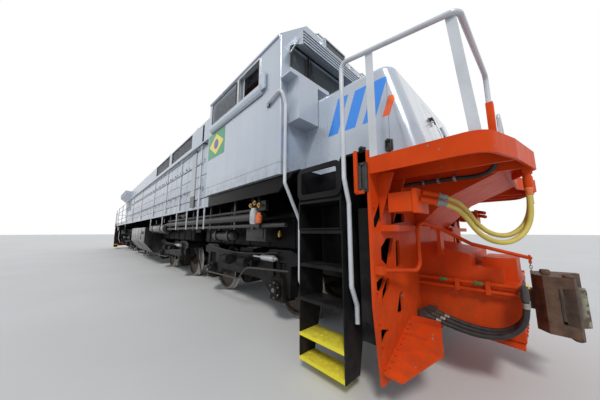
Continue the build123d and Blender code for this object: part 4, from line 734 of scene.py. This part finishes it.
iron = surround("grab_irons", (-0.035, 0.0, 0.0), (0.07, 0.36, 0.018), 0.016, 0.004, 0.02)
settle(copied(iron, iron_places), "body", aluminium)

# Cab: welded sheet steel with a hollow inside, in the same silver paint, its inner lining in warm grey-brown.
# A dark seam runs along the foot of each side, where the cab is bolted to its sill.
cab_silver = surface("cab_silver", silver_tones, 0.7, (0.16, 0.3), 60.0, 0.04, 0.35, 0.45)
tree = cab_silver.node_tree
soil(cab_silver, grime, 1.95, 2.25, 0.55, 8.0, (1.0, 1.0, 0.5))
soil(cab_silver, rain_streak, 1.9, 6.0, 0.16, 8.0, (1.0, 1.0, 0.06))
coat_over(cab_silver, zone(tree, (8.27, 9.21), (1.4415, 1.4995), (3.25, 3.7)), (0.78, 0.82, 0.88), 0.35)
coat_over(cab_silver, zone(tree, (8.1, 10.36), (1.4, 1.51), (2.098, 2.104)), (0.1, 0.1, 0.11), 0.6)
# A painted shadow line: a thin near-black band under the sill box below each side window.
coat_over(cab_silver, zone(tree, (8.3, 9.98), (1.495, 1.53), (3.1, 3.1145)), (0.07, 0.07, 0.075), 0.6)
for half, low_edge, high_edge in ((1.441, 1.96, 3.765), (0.98, 3.765, 4.135)):
    coat_over(cab_silver, zone(tree, (8.2, 10.3), (0.0, half), (low_edge, high_edge)), (0.2, 0.14, 0.1), 0.8)
dress(cab_silver, "cab_sides", "cab_front_wall", "cab_roof")
trim = surface("cab_trim", ((0.2, 0.13, 0.09), (0.3, 0.21, 0.15)), 8.0, (0.5, 0.75), 180.0, 0.3)
dress(trim, "cab_seats_and_desk")

# Cab side fittings: a black rubber edge round the louvred panel, an aluminium frame and a half drawn pane in
# the open sash, and the mirror's face; all are set into the window band on both sides.
rubber = surface("seal_rubber", ((0.012, 0.012, 0.012), (0.028, 0.028, 0.028)), 20.0, (0.5, 0.7), 240.0, 0.3)
mirror_tones = ((0.6, 0.62, 0.64), (0.7, 0.72, 0.74))
mirror_face = surface("mirror_face", mirror_tones, 3.0, (0.03, 0.06), 40.0, 0.01, 1.0)
safety_glass = surface("safety_glass", ((0.5, 0.56, 0.58), (0.58, 0.64, 0.66)), 2.0, (0.02, 0.05), 30.0, 0.01)
safety_glass.node_tree.nodes["Principled BSDF"].inputs["Transmission Weight"].default_value = 0.85
dress(safety_glass, "cab_windows")
cab_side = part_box("cab_roof")[1].y
window_height = 3.474
edges, frames, panes, faces = [], [], [], []
for side in (-1, 1):
    outer, inner = side * (cab_side + 0.003), side * (cab_side - 0.034)
    edges.append(surround("edge", (8.74, outer, window_height), (0.96, 0.012, 0.47), 0.022, 0.003, 0.03))
    frames.append(surround("frame", (9.59, outer, window_height), (0.63, 0.016, 0.48), 0.028, 0.003, 0.03))
    panes.append(slab("pane", (9.34, inner, window_height), (0.1, 0.006, 0.42), 0.001))
    frames.append(slab("stile", (9.395, inner, window_height), (0.022, 0.016, 0.42), 0.003))
    faces.append(slab("face", (9.928, side * (cab_side + 0.029), 3.273), (0.004, 0.017, 0.2), 0.001))
settle(gathered("louvre_seals", edges), "body", rubber)
settle(gathered("sash_frames", frames), "body", aluminium)
settle(gathered("sash_panes", panes), "body", safety_glass)
settle(gathered("mirror_faces", faces), "body", mirror_face)

# Rivets: small round steel heads under the silver paint, in a row along the foot of the cab sides and in two
# upright rows on each side of the joint of nose and cab.
sill_rivets, joint_rivets = 33, 12
rivet_places = []
for side in (-1, 1):
    for k in range(sill_rivets):
        rivet_places.append(facing((8.22 + 0.065 * k, side * (cab_side - 0.0005), 2.03), (0, side, 0)))
    for x in (10.4, 10.54):
        nose_side = 1.06 - 0.06 * (x - 10.35) / 1.4
        for k in range(joint_rivets):
            rivet_places.append(facing((x, side * (nose_side - 0.0005), 1.98 + 0.07 * k), (0, side, 0)))
rivet = turned("rivets", (0, 0, 0), (0, 0, 1), 0.009, [(0.002, 0.0085), (0.002, 0.005)], 8)
settle(copied(rivet, rivet_places), "body", silver)

# Windscreen: two panes held in black rubber gaskets with rounded corners, each with a black wiper on its
# spindle, and two thin stays from the pillars to the sunshade.
pane_height = 3.4425
gaskets = []
for side in (-1, 1):
    gasket_at = (10.353, side * 0.755, pane_height)
    gaskets.append(surround("gasket", gasket_at, (0.014, 1.2, 0.565), 0.03, 0.004, 0.075))
    gaskets.append(slab("divider", (10.351, side * 1.02, pane_height), (0.012, 0.034, 0.52), 0.004))
settle(gathered("windscreen_gaskets", gaskets), "body", rubber)
spindle_steps = [(0.01, 0.03), (0.004, 0.022), (0.02, 0.022), (0.004, 0.015), (0.008, 0.012)]
wipers = []
for side in (-1, 1):
    base = Vector((10.35, side * 0.63, 3.165))
    tip = Vector((10.385, side * 0.98, 3.44))
    wipers.append(turned("spindle", base, (1, 0, 0), 0.032, spindle_steps, 16))
    foot = base + Vector((0.036, 0, 0))
    arm = tip - foot
    arm_steps = [(0.05, 0.009), (0.01, 0.006), (arm.length - 0.07, 0.005)]
    wipers.append(turned("arm", foot, arm, 0.009, arm_steps, 8))
    wipers.append(slab("blade", (10.372, side * 0.99, 3.44), (0.012, 0.014, 0.44), 0.004))
    wipers.append(slab("blade_back", (10.381, side * 0.99, 3.44), (0.008, 0.024, 0.26), 0.003))
settle(gathered("wipers", wipers), "body", fitting_black)
stays = []
for side in (-1, 1):
    low_end = Vector((10.352, side * 1.352, 3.585))
    high_end = Vector((10.552, side * 1.29, 3.8))
    run = high_end - low_end
    stay_steps = [(0.006, 0.016), (0.0, 0.008), (run.length - 0.012, 0.008), (0.0, 0.014), (0.006, 0.014)]
    stays.append(turned("stay", low_end, run, 0.016, stay_steps, 12))
settle(gathered("shade_stays", stays), "body", aluminium)

# Sunshade: a ribbed tray of silver sheet over the windscreen, bolted under the roof's edge, with the two
# blank number boards on it, black in pale frames.
shade_silver = surface("shade_silver", silver_tones, 1.5, (0.3, 0.45), 90.0, 0.1, 0.3, 0.2)
tree = shade_silver.node_tree
shade_face = (10.548, 10.5515)
coat_over(shade_silver, zone(tree, shade_face, (0.0, 1.32), (3.6, 3.806)), (0.09, 0.1, 0.11), 0.55)
coat_over(shade_silver, zone(tree, shade_face, (0.4, 0.93), (3.806, 3.97)), (0.012, 0.012, 0.014), 0.25)
dress(shade_silver, "windscreen_shade")

# Flags: a simple flag in three layers of vinyl film below the rear end of each side window, green, yellow and
# blue, without any lettering.
film_thickness = 0.0006
for name, vertices, size, lift, colour in (
    # name, corners, half width and half height, outer face above the sheet, tones
    ("flag_field", 4, (0.49, 0.34), 0.0006, ((0.0, 0.24, 0.1), (0.0, 0.28, 0.12))),
    ("flag_rhombus", 4, (0.3, 0.19), 0.0012, ((0.8, 0.62, 0.03), (0.85, 0.67, 0.05))),
    ("flag_disc", 40, (0.092, 0.092), 0.0018, ((0.01, 0.04, 0.3), (0.02, 0.06, 0.34))),
):
    film = surface(name, colour, 5.0, (0.2, 0.32), 90.0, 0.03, 0.0, 0.3)
    layers = []
    for side in (-1, 1):
        bpy.ops.object.select_all(action="DESELECT")
        bpy.ops.mesh.primitive_circle_add(
            vertices=vertices, radius=1.0, fill_type="NGON", location=(8.51, side * (cab_side + lift), 2.86)
        )
        layer = bpy.context.object
        spin = math.radians(45 if name == "flag_field" else 0)
        layer.data.transform(Matrix.Rotation(spin, 4, "Z"))
        layer.data.transform(Matrix.Diagonal((size[0], size[1], 1.0, 1.0)))
        layer.data.transform(Matrix.Rotation(math.radians(-90 * side), 4, "X"))
        bpy.ops.object.mode_set(mode="EDIT")
        bpy.ops.mesh.select_all(action="SELECT")
        bpy.ops.mesh.extrude_region_move(TRANSFORM_OT_translate={"value": (0, -side * film_thickness, 0)})
        shut()
        layers.append(layer)
    settle(gathered(name, layers), "body", film)

# Roof: the stack's open mouth, lifting eyes, hatch seams and latches, the guard over the radiator fan, a
# cluster of three horns and small aerials; steel fittings welded or bolted to the roof sheet.
soot = surface("soot", ((0.008, 0.008, 0.008), (0.03, 0.028, 0.026)), 9.0, (0.7, 0.9), 90.0, 0.5)
stack_mouth = slab("stack_mouth", (-0.55, 0.0, 4.351), (0.56, 0.46, 0.008), 0.002)
settle(stack_mouth, "body", soot)
fittings = [surround("stack_rim", (-0.55, 0.0, 4.353), (0.72, 0.62, 0.014), 0.07, 0.004, 0.04)]
for x in (-6.9, -4.7, -2.4, 0.6, 2.9, 5.9, 7.7):
    fittings.append(slab("seam", (x, 0.0, 4.234), (0.07, 2.05, 0.012), 0.004))
    for side in (-1, 1):
        fittings.append(surround("eye", (x, side * 0.9, 4.262), (0.09, 0.018, 0.07), 0.022, 0.005, 0.02))
for x in (3.3, 4.4, 5.5):
    for side in (-1, 1):
        fittings.append(slab("hatch_latch", (x, side * 0.86, 4.262), (0.09, 0.04, 0.024), 0.006))
settle(gathered("roof_fittings", fittings), "body", silver)
fan_x = -8.9
guard_reach = 0.64
hoops = []
for radius in (0.16, 0.28, 0.4, 0.52, 0.63):
    bpy.ops.object.select_all(action="DESELECT")
    bpy.ops.curve.primitive_bezier_circle_add(radius=radius, location=(fan_x, 0.0, 4.342))
    hoop = bpy.context.object
    hoop.data.bevel_depth = 0.006
    hoop.data.bevel_resolution = 1
    hoop.data.resolution_u = 10
    bpy.ops.object.convert(target="MESH")
    hoops.append(bpy.context.object)
for k in range(8):
    angle = math.radians(22.5 * k)
    way = Vector((math.cos(angle), math.sin(angle), 0.0))
    spoke_foot = Vector((fan_x, 0.0, 4.348)) - way * guard_reach
    hoops.append(turned("spoke", spoke_foot, way, 0.006, [(2 * guard_reach, 0.006)], 8))
settle(gathered("fan_guard", hoops), "body", fan_grey)
horns = [slab("horn_bar", (5.2, -0.62, 4.3), (0.07, 0.42, 0.03), 0.008)]
for y, horn_length in ((-0.78, 0.3), (-0.62, 0.38), (-0.46, 0.24)):
    throat = [(0.05, 0.03), (0.02, 0.018), (horn_length - 0.12, 0.024)]
    bell = [(0.05, 0.038), (0.03, 0.06), (0.006, 0.064), (0.0, 0.052), (-0.05, 0.02)]
    horns.append(turned("horn", (5.16, y, 4.365), (1, 0, 0), 0.03, throat + bell, 20))
    horns.append(slab("horn_foot", (5.2, y, 4.33), (0.03, 0.03, 0.06), 0.006))
settle(gathered("horns", horns), "body", aluminium)
aerial_steps = [(0.01, 0.07), (0.02, 0.066), (0.018, 0.05), (0.008, 0.025)]
aerials = []
for x, y in ((9.0, 0.35), (9.0, -0.35), (9.7, 0.0)):
    aerials.append(turned("aerial", (x, y, 4.188), (0, 0, 1), 0.07, aerial_steps, 20))
settle(gathered("aerials", aerials), "body", fitting_black)

# Roof trays: a light grating of aluminium bars on four legs over each front corner of the cab roof, screwed
# down through the legs' feet.
grates = []
for side in (-1, 1):
    grates.append(surround("tray", (10.1, side * 0.62, 4.29), (0.44, 0.34, 0.022), 0.02, 0.004, 0.02))
    for x in (9.93, 10.27):
        for y in (0.49, 0.75):
            grates.append(slab("leg", (x, side * y, 4.235), (0.02, 0.02, 0.1), 0.004))
    for k in range(9):
        grates.append(slab("bar", (9.94 + 0.04 * k, side * 0.62, 4.29), (0.008, 0.31, 0.012), 0.002))
settle(gathered("roof_trays", grates), "body", aluminium)

# Nose: a short hood of sheet steel with its door in the sloped front, silver, with slanted blue bars and one
# orange one as plain decoration on each side, a seam near its front, and two black toggle clamps low down.
nose_silver = surface("nose_silver", silver_tones, 0.8, (0.14, 0.28), 60.0, 0.04, 0.35, 0.5)
tree = nose_silver.node_tree
soil(nose_silver, rain_streak, 1.9, 6.0, 0.16, 8.0, (1.0, 1.0, 0.06))
bar_blue, bar_orange = (0.03, 0.25, 0.8), (0.85, 0.12, 0.02)
bar_lean = -0.35
bars = [
    # rear edge and front edge along the lean, lower and upper edge, colour
    (9.22, 9.35, 2.42, 2.84, bar_blue),
    (9.43, 9.56, 2.42, 2.84, bar_blue),
    (9.64, 9.77, 2.42, 2.84, bar_blue),
    (9.84, 9.91, 2.42, 2.62, bar_orange),
]
for rear_edge, front_edge, low_edge, high_edge, colour in bars:
    leaning = zone(tree, x=(rear_edge, front_edge), lean=(0.0, bar_lean, 0.0))
    on_side = zone(tree, (10.4, 11.7), (0.96, 1.1), (low_edge, high_edge))
    coat_over(nose_silver, both(tree, leaning, on_side), colour, 0.22)
coat_over(nose_silver, zone(tree, (11.418, 11.422), (0.96, 1.1), (1.9, 2.9)), (0.12, 0.12, 0.13), 0.5)
dress(nose_silver, "nose", "nose_door")
stud_steps = [(0.012, 0.011), (0.0, 0.015), (0.008, 0.014)]
clamps = []
for x, y in ((11.131, 1.029), (11.41, 1.0165)):
    for side in (-1, 1):
        clamps.append(slab("plate", (x, side * (y + 0.004), 2.12), (0.075, 0.01, 0.1), 0.003))
        bail_at = (x, side * (y + 0.018), 2.115)
        clamps.append(surround("bail", bail_at, (0.06, 0.014, 0.12), 0.012, 0.003, 0.02))
        for z in (2.075, 2.165):
            clamps.append(turned("stud", (x, side * (y + 0.008), z), (0, side, 0), 0.011, stud_steps, 10))
settle(gathered("nose_clamps", clamps), "body", fitting_black)

# Nose door fittings: a bent grab handle of aluminium tube and two dog levers of black steel, all screwed to
# the door, so that they swing with it.
slope_run = Vector((-0.29, 0.0, 1.096))
slope = slope_run.normalized()
outward = Vector((slope_run.z, 0.0, -slope_run.x)).normalized()
foot = Vector((11.75, 0.0, 1.892))
boss_steps = [(0.008, 0.03), (0.004, 0.02), (0.02, 0.02), (0.004, 0.014)]
lever_steps = [(0.09, 0.009), (0.004, 0.014), (0.02, 0.014), (0.004, 0.009)]
levers = []
for along in (0.33, 0.73):
    boss_at = foot + slope * along + Vector((0, -0.24, 0))
    levers.append(turned("boss", boss_at, outward, 0.03, boss_steps, 16))
    lever_way = Vector((0, 1, 0)) - slope * 0.3
    levers.append(turned("lever", boss_at + outward * 0.026, lever_way, 0.011, lever_steps, 12))
settle(gathered("nose_door_levers", levers), "nose_door", fitting_black)
top_at = foot + slope * 0.66 + Vector((0, -0.29, 0))
grab = []
for start in (top_at, top_at - slope * 0.25):
    grab.append(turned("leg", start, outward, 0.016, [(0.004, 0.016), (0.0, 0.008), (0.05, 0.008)], 12))
grab.append(turned("grip", top_at + outward * 0.05 + slope * 0.008, -slope, 0.008, [(0.266, 0.008)], 12))
settle(gathered("nose_door_grab", grab), "nose_door", aluminium)

# Front and rear ends: cut and welded plate in glossy orange, worn to primer in small chips, darker and dirty
# low down, with hexagon bolts along the guard plates and the end plate's edge.
orange_tones = ((0.6, 0.052, 0.007), (0.69, 0.075, 0.011))
orange = surface("orange_gloss", orange_tones, 3.0, (0.3, 0.42), 90.0, 0.07, specular=0.07)
soil(orange, (0.2, 0.055, 0.025), 0.2, 1.3, 0.5, 9.0)
soil(orange, (0.34, 0.06, 0.015), 0.2, 3.2, 0.4, 14.0, (1.0, 1.0, 0.15))
tree = orange.node_tree
place = node(tree, "TexCoord").outputs["Object"]
chips = node(tree, "TexNoise", {"Vector": place, "Scale": 26.0, "Detail": 8.0}).outputs["Fac"]
few = node(tree, "MapRange", {"Value": chips, "From Min": 0.71, "From Max": 0.73})
coat_over(orange, few.outputs["Result"], (0.25, 0.2, 0.18), 0.7)
dress(orange, "front_pilot", "rear_pilot", "cut_levers")
plate_face = 11.425
bolt_places = []
for end, side in corners:
    guard_way = Vector((0, side * 0.408, 0.913))
    for k in range(9):
        across = 0.9 + 0.052 * k
        guard_height = 0.528 - (across - 0.86) * 0.447
        guard_at = (end * (plate_face + 0.03), side * across, guard_height + 0.0005)
        bolt_places.append(facing(guard_at, guard_way))
    for z in (0.32, 0.48, 0.64, 0.86, 1.02, 1.5):
        widening = min(max((z - 0.205) / 0.555, 0.0), 1.0)
        edge_y = 1.36 + 0.07 * widening - 0.026
        bolt_places.append(facing((end * (plate_face + 0.0005), side * edge_y, z), (end, 0, 0)))
    for y in (0.14, 0.24, 0.34, 0.44):
        bolt_places.append(facing((end * 12.1505, side * y, 0.505), (end, 0, 0)))
hexagon = [(0.002, 0.014), (0.0, 0.0105), (0.009, 0.0105)]
bolt = turned("end_bolts", (0, 0, 0), (0, 0, 1), 0.014, hexagon, 6)
settle(copied(bolt, bolt_places), "body", orange)


# Pans behind the end plates: a shallow black pan behind each end plate, as wide as its slanted openings, is
# painted shade, so that they look into the dark; folded from sheet and welded to the plate's back.
def pan(name, middle, size, open_way, wall):
    """A shallow pan: a block with the face on its open side drawn in to a deep bottom."""
    piece = block(name, middle, size)
    choose(piece, "FACE", lambda side: side.normal.dot(open_way) > 0.9)
    bpy.ops.mesh.inset(thickness=wall)
    depth = abs(Vector(size).dot(open_way)) - wall
    bpy.ops.mesh.extrude_region_move(TRANSFORM_OT_translate={"value": -Vector(open_way) * depth})
    shut()
    return piece


pan_size = (0.138, 2.72, 1.04)
pans = []
for end in (1, -1):
    pans.append(pan("pan", (end * 11.33, 0, 0.98), pan_size, Vector((end, 0, 0)), 0.008))
settle(gathered("shade_pans", pans), "body", dull_black)

# Couplers: heavy steel castings, rusty brown and oily, with the knuckle's face rubbed to grey; the lock lift
# chain hangs from the cut lever's eye in five links.
rust_tones = ((0.05, 0.028, 0.018), (0.13, 0.07, 0.042))
rusty = surface("coupler_rust", rust_tones, 11.0, (0.5, 0.8), 70.0, 0.7, 0.15)
soil(rusty, (0.2, 0.15, 0.1), 0.3, 1.6, 0.4, 18.0)
worn_tones = ((0.05, 0.035, 0.025), (0.12, 0.085, 0.06))
worn = surface("knuckle_worn", worn_tones, 13.0, (0.42, 0.7), 80.0, 0.6, 0.25)
tree = worn.node_tree
place = node(tree, "TexCoord").outputs["Object"]
rub = node(tree, "TexNoise", {"Vector": place, "Scale": 20.0, "Detail": 7.0}).outputs["Fac"]
rubbed = node(tree, "MapRange", {"Value": rub, "From Min": 0.42, "From Max": 0.56}).outputs[0]
along = node(tree, "SeparateXYZ", {0: place}).outputs["X"]
from_middle = node(tree, "Math", {0: along}, "ABSOLUTE").outputs[0]
foremost = node(tree, "MapRange", {"Value": from_middle, "From Min": 12.46, "From Max": 12.5}).outputs[0]
coat_over(worn, both(tree, foremost, rubbed), (0.3, 0.29, 0.2), 0.4)
dress(rusty, "front_coupler", "rear_coupler")
dress(worn, "front_knuckle", "rear_knuckle")
pin_steps = [(0.01, 0.036), (0.004, 0.03), (0.006, 0.022), (0.0, 0.012), (0.004, 0.01)]
rib_turn = Matrix.Rotation(0.21, 3, "Z").to_quaternion()
for end, body in ((1, "front_coupler"), (-1, "rear_coupler")):
    cast = []
    for height, way in ((0.951, 1), (0.465, -1)):
        pin_at = (end * 12.428, end * -0.15, height - way * 0.012)
        cast.append(turned("pin_head", pin_at, (0, 0, way), 0.036, pin_steps, 20))
    for z in (0.6, 0.7, 0.8):
        cast.append(slab("rib", (end * 12.36, end * 0.2, z), (0.2, 0.05, 0.026), 0.01, rib_turn))
    cast.append(slab("lug", (end * 12.3, end * 0.04, 0.945), (0.07, 0.05, 0.045), 0.014))
    cast.append(slab("lock_lift", (end * 12.3, end * -0.1, 0.945), (0.05, 0.03, 0.05), 0.012))
    cast.append(turned("link_pin", (end * 12.3, 0.0, 0.95), (0, 1, 0), 0.01, [(0.1, 0.01)], 10))
    settle(gathered(f"{body}_castings", cast), body, rusty)
links = []
for end in (1, -1):
    for k in range(5):
        size = (0.008, 0.022, 0.034) if k % 2 else (0.022, 0.008, 0.034)
        links.append(surround("link", (end * 12.218, 0.0, 1.028 - 0.023 * k), size, 0.005, 0.0015, 0.007))
settle(gathered("lift_chains", links), "body", zinc)

# Front end details: the black wiring loom clipped below the platform, green line tags on the brake pipes, the
# yellow cap of the cock, the lip's shackle, and the rounded orange guard with its black plate by the steps.
loom_points = [
    (11.43, -0.86, 1.74),
    (11.52, -0.83, 1.748),
    (11.62, -0.812, 1.75),
    (11.86, -0.812, 1.75),
    (11.98, -0.812, 1.738),
    (12.08, -0.825, 1.75),
    (12.13, -0.85, 1.8),
    (12.145, -0.88, 1.866),
]
settle(piped("wiring_loom", loom_points, 0.036, hose_rubber), "body", hose_rubber)
clips = []
for x in (11.62, 11.74, 11.86):
    clips.append(surround("clip", (x, -0.812, 1.75), (0.02, 0.05, 0.05), 0.006, 0.002, 0.018))
    clips.append(slab("clip_tab", (x, -0.79, 1.772), (0.02, 0.008, 0.04), 0.002))
settle(gathered("loom_clips", clips), "body", zinc)
tag_green = surface("tag_green", ((0.02, 0.2, 0.05), (0.03, 0.28, 0.08)), 60.0, (0.4, 0.55), 200.0, 0.2)
tags = []
for x in (11.64, 11.9):
    tags.append(slab("tag", (x, -0.546, 0.868), (0.06, 0.006, 0.022), 0.002))
    tags.append(slab("tag_strap", (x - 0.02, -0.53, 0.868), (0.012, 0.034, 0.034), 0.003))
settle(gathered("pipe_tags", tags), "body", tag_green)
cap_yellow = surface("cap_yellow", ((0.75, 0.5, 0.02), (0.85, 0.6, 0.04)), 40.0, (0.3, 0.45), 200.0, 0.1)
cap_steps = [(0.012, 0.026), (0.008, 0.024), (0.008, 0.018), (0.005, 0.01)]
cap = turned("cock_cap", (12.18, -0.445, 0.8605), (0, 0, 1), 0.025, cap_steps, 20)
settle(cap, "body", cap_yellow)
guard_bar = slab("guard_bar", (11.318, -1.462, 1.79), (0.035, 0.03, 0.36), 0.012)
guard_foot = slab("guard_foot", (11.345, -1.452, 1.618), (0.08, 0.022, 0.03), 0.006)
settle(gathered("step_guard", [guard_bar, guard_foot]), "body", orange)
plate = surround("guard_plate", (11.378, -1.452, 1.738), (0.075, 0.02, 0.24), 0.022, 0.003, 0.01)
backing = slab("guard_backing", (11.378, -1.447, 1.738), (0.06, 0.008, 0.22), 0.002)
settle(gathered("step_guard_plate", [plate, backing]), "body", fitting_black)
pin_steps = [(0.004, 0.016), (0.0, 0.01), (0.09, 0.01), (0.0, 0.015), (0.008, 0.013)]
pin = turned("shackle_pin", (12.285, -0.735, 1.71), (0, 1, 0), 0.012, pin_steps, 12)
link = surround("shackle_link", (12.285, -0.69, 1.685), (0.05, 0.014, 0.07), 0.012, 0.003, 0.02)
settle(gathered("lip_shackle", [pin, link]), "body", shackle_paint)

# Corner steps: black plate boxes with open treads, each tread edged with a strip of raised studs, the two
# lowest painted yellow so that they are seen; welded to the underframe's corners.
step_tones = ((0.006, 0.006, 0.007), (0.014, 0.014, 0.015))
step_paint = surface("step_black", step_tones, 5.0, (0.3, 0.5), 110.0, 0.15, specular=0.12)
soil(step_paint, road_dust, 0.0, 1.4, 0.25, 9.0)
tree = step_paint.node_tree
for top in (0.358, 0.148):
    tread = zone(tree, (-11.2, 11.2), (1.19, 1.442), (top - 0.032, top + 0.001))
    inside = zone(tree, (-11.138, 11.138))
    coat_over(step_paint, both(tree, tread, inside), (0.78, 0.68, 0.04), 0.45)
dress(step_paint, "corner_steps")
tread_yellow = surface("tread_yellow", ((0.72, 0.6, 0.03), (0.84, 0.74, 0.06)), 16.0, (0.4, 0.6), 160.0, 0.35)
soil(tread_yellow, (0.2, 0.17, 0.1), 0.0, 0.8, 0.4, 24.0)
step_middle = (10.62 + 11.15) / 2
step_side = 1.44
for name, tops, finish in (
    # name, height and inner edge of each tread, finish
    ("step_nosings", ((0.998, 1.16), (0.678, 1.18)), step_paint),
    ("step_nosings_yellow", ((0.358, 1.2), (0.148, 1.24)), tread_yellow),
):
    strips = []
    for top, inner in tops:
        for end, side in corners:
            strip_at = (step_middle * end, side * (inner + step_side) / 2, top + 0.0015)
            strips.append(slab("strip", strip_at, (0.5, step_side - inner - 0.01, 0.003), 0.001))
            for k in range(9):
                stud_at = (end * (10.66 + 0.056 * k), side * 1.35, top + 0.003)
                strips.append(turned("stud", stud_at, (0, 0, 1), 0.011, [(0.003, 0.008)], 8))
    settle(gathered(name, strips), "body", finish)

# Toe frames: a folded black frame with a rounded mouth at the top of each flight of steps, and a thin frame
# round the next opening, both welded to the step box.
mouths = []
for end, side in corners:
    mouth_at = (end * step_middle, side * 1.449, 1.785)
    mouths.append(surround("mouth", mouth_at, (0.56, 0.017, 0.33), 0.055, 0.004, 0.075))
    opening_at = (end * step_middle, side * 1.446, 1.46)
    mouths.append(surround("opening", opening_at, (0.53, 0.01, 0.27), 0.014, 0.002))
settle(gathered("toe_frames", mouths), "body", step_paint)

# Handrails: bent steel tube in light grey gloss, with the long walkway rails in a darker grey, black clamps
# at the wide post, and the knuckle fittings where rail meets post.
tube_tones = ((0.5, 0.53, 0.57), (0.6, 0.63, 0.67))
rail_grey = surface("rail_grey", tube_tones, 4.0, (0.16, 0.28), 90.0, 0.05, 0.1, 0.4)
tree = rail_grey.node_tree
soil(rail_grey, grime, 0.4, 1.2, 0.4, 16.0)
rail_heights = (2.188, 2.688, 3.028)
rail_line = (1.4, 1.5)
wide_post = (7.17, 7.43)
for z in rail_heights:
    coat_over(rail_grey, zone(tree, (-9.3, 7.75), rail_line, (z - 0.02, z + 0.02)), (0.16, 0.17, 0.19), 0.4)
coat_over(rail_grey, zone(tree, wide_post, rail_line, (1.7, 3.1)), (0.34, 0.37, 0.41), 0.35)
coat_over(rail_grey, zone(tree, wide_post, rail_line, (1.7, 2.05)), (0.03, 0.03, 0.033), 0.45)
dress(rail_grey, "handrails")
sleeve_grey = surface("sleeve_grey", ((0.3, 0.32, 0.35), (0.4, 0.42, 0.45)), 18.0, (0.3, 0.45), 120.0, 0.15)
sleeve_places = []
for x in (7.7, 6.35, 5.0, 3.3, 0.8, -1.7, -4.2, -6.7, -9.2):
    for z in rail_heights:
        for side in (-1, 1):
            sleeve_places.append(Matrix.Translation((x, side * 1.46, z - 0.026)))
sleeve_steps = [(0.0, 0.026), (0.006, 0.028), (0.04, 0.028), (0.006, 0.026), (0.0, 0.0205)]
sleeve = turned("rail_sleeves", (0, 0, 0), (0, 0, 1), 0.0205, sleeve_steps, 12)
settle(copied(sleeve, sleeve_places), "body", sleeve_grey)
clamps = []
for side in (-1, 1):
    clamps.append(slab("post_clamp", (7.3, side * 1.461, 3.03), (0.26, 0.05, 0.05), 0.008))
    clamps.append(slab("rail_foot", (10.12, side * 1.508, 2.9), (0.05, 0.012, 0.07), 0.003))
settle(gathered("rail_clamps", clamps), "body", fitting_black)

# Posts of the platform rail: an orange angle of folded plate is welded on the foot of each gate post, with a
# lug bolted to the platform.
sleeves = []
for end, side in corners:
    sleeves.append(slab("flat", (end * 12.136, side * 0.48, 2.175), (0.008, 0.07, 0.565), 0.003))
    sleeves.append(slab("edge", (end * 12.112, side * 0.512, 2.175), (0.05, 0.008, 0.565), 0.003))
    sleeves.append(slab("lug", (end * 12.112, side * 0.48, 1.9), (0.075, 0.11, 0.014), 0.004))
    for across in (-0.04, 0.04):
        stud_at = (end * 12.125, side * 0.48 + across, 1.905)
        sleeves.append(turned("stud", stud_at, (0, 0, 1), 0.012, [(0.012, 0.01)], 6))
settle(gathered("post_sleeves", sleeves), "body", orange)

# Headlights: twin sealed lamps in a rounded housing between the number boards in front and on the hood's end,
# where two blank boards and two red marker lamps go with it; sheet and pressed rims, bolted on.
lamp_glass = surface("lamp_glass", ((0.72, 0.75, 0.76), (0.82, 0.84, 0.85)), 6.0, (0.03, 0.07), 60.0, 0.02)
lamp_glass.node_tree.nodes["Principled BSDF"].inputs["Transmission Weight"].default_value = 0.5
red_tones = ((0.4, 0.01, 0.01), (0.5, 0.02, 0.015))
marker_red = surface("marker_red", red_tones, 20.0, (0.1, 0.2), 120.0, 0.05, 0.0, 0.5)
rim_steps = [(0.012, 0.084), (0.006, 0.08), (0.0, 0.07), (-0.008, 0.066)]
dome_steps = [(0.003, 0.06), (0.003, 0.05), (0.002, 0.03)]
marker_base_steps = [(0.02, 0.055), (0.01, 0.045)]
marker_steps = [(0.014, 0.04), (0.012, 0.03), (0.005, 0.014)]
housings, rings, glasses, reds, boards = [], [], [], [], []
for x, z, end in ((10.352, 3.905, 1), (-10.502, 3.72, -1)):
    housings.append(slab("housing", (x + end * 0.06, 0.0, z), (0.12, 0.56, 0.18), 0.03))
    for y in (-0.135, 0.135):
        face = x + end * 0.118
        rings.append(turned("rim", (face, y, z), (end, 0, 0), 0.084, rim_steps, 32))
        glasses.append(turned("glass", (face + end * 0.011, y, z), (end, 0, 0), 0.065, dome_steps, 32))
for side in (-1, 1):
    housings.append(slab("board_frame", (-10.51, side * 0.62, 3.72), (0.024, 0.44, 0.2), 0.006))
    boards.append(slab("board", (-10.523, side * 0.62, 3.72), (0.006, 0.4, 0.16), 0.002))
    marker_base_at = (hood_end, side * 0.78, 3.42)
    housings.append(turned("marker_base", marker_base_at, (-1, 0, 0), 0.055, marker_base_steps, 20))
    reds.append(turned("marker", (-10.528, side * 0.78, 3.42), (-1, 0, 0), 0.042, marker_steps, 20))
settle(gathered("lamp_housings", housings), "body", shade_silver)
settle(gathered("lamp_rims", rings), "body", aluminium)
settle(gathered("lamp_glasses", glasses), "body", lamp_glass)
settle(gathered("marker_lamps", reds), "body", marker_red)
settle(gathered("rear_boards", boards), "body", fitting_black)
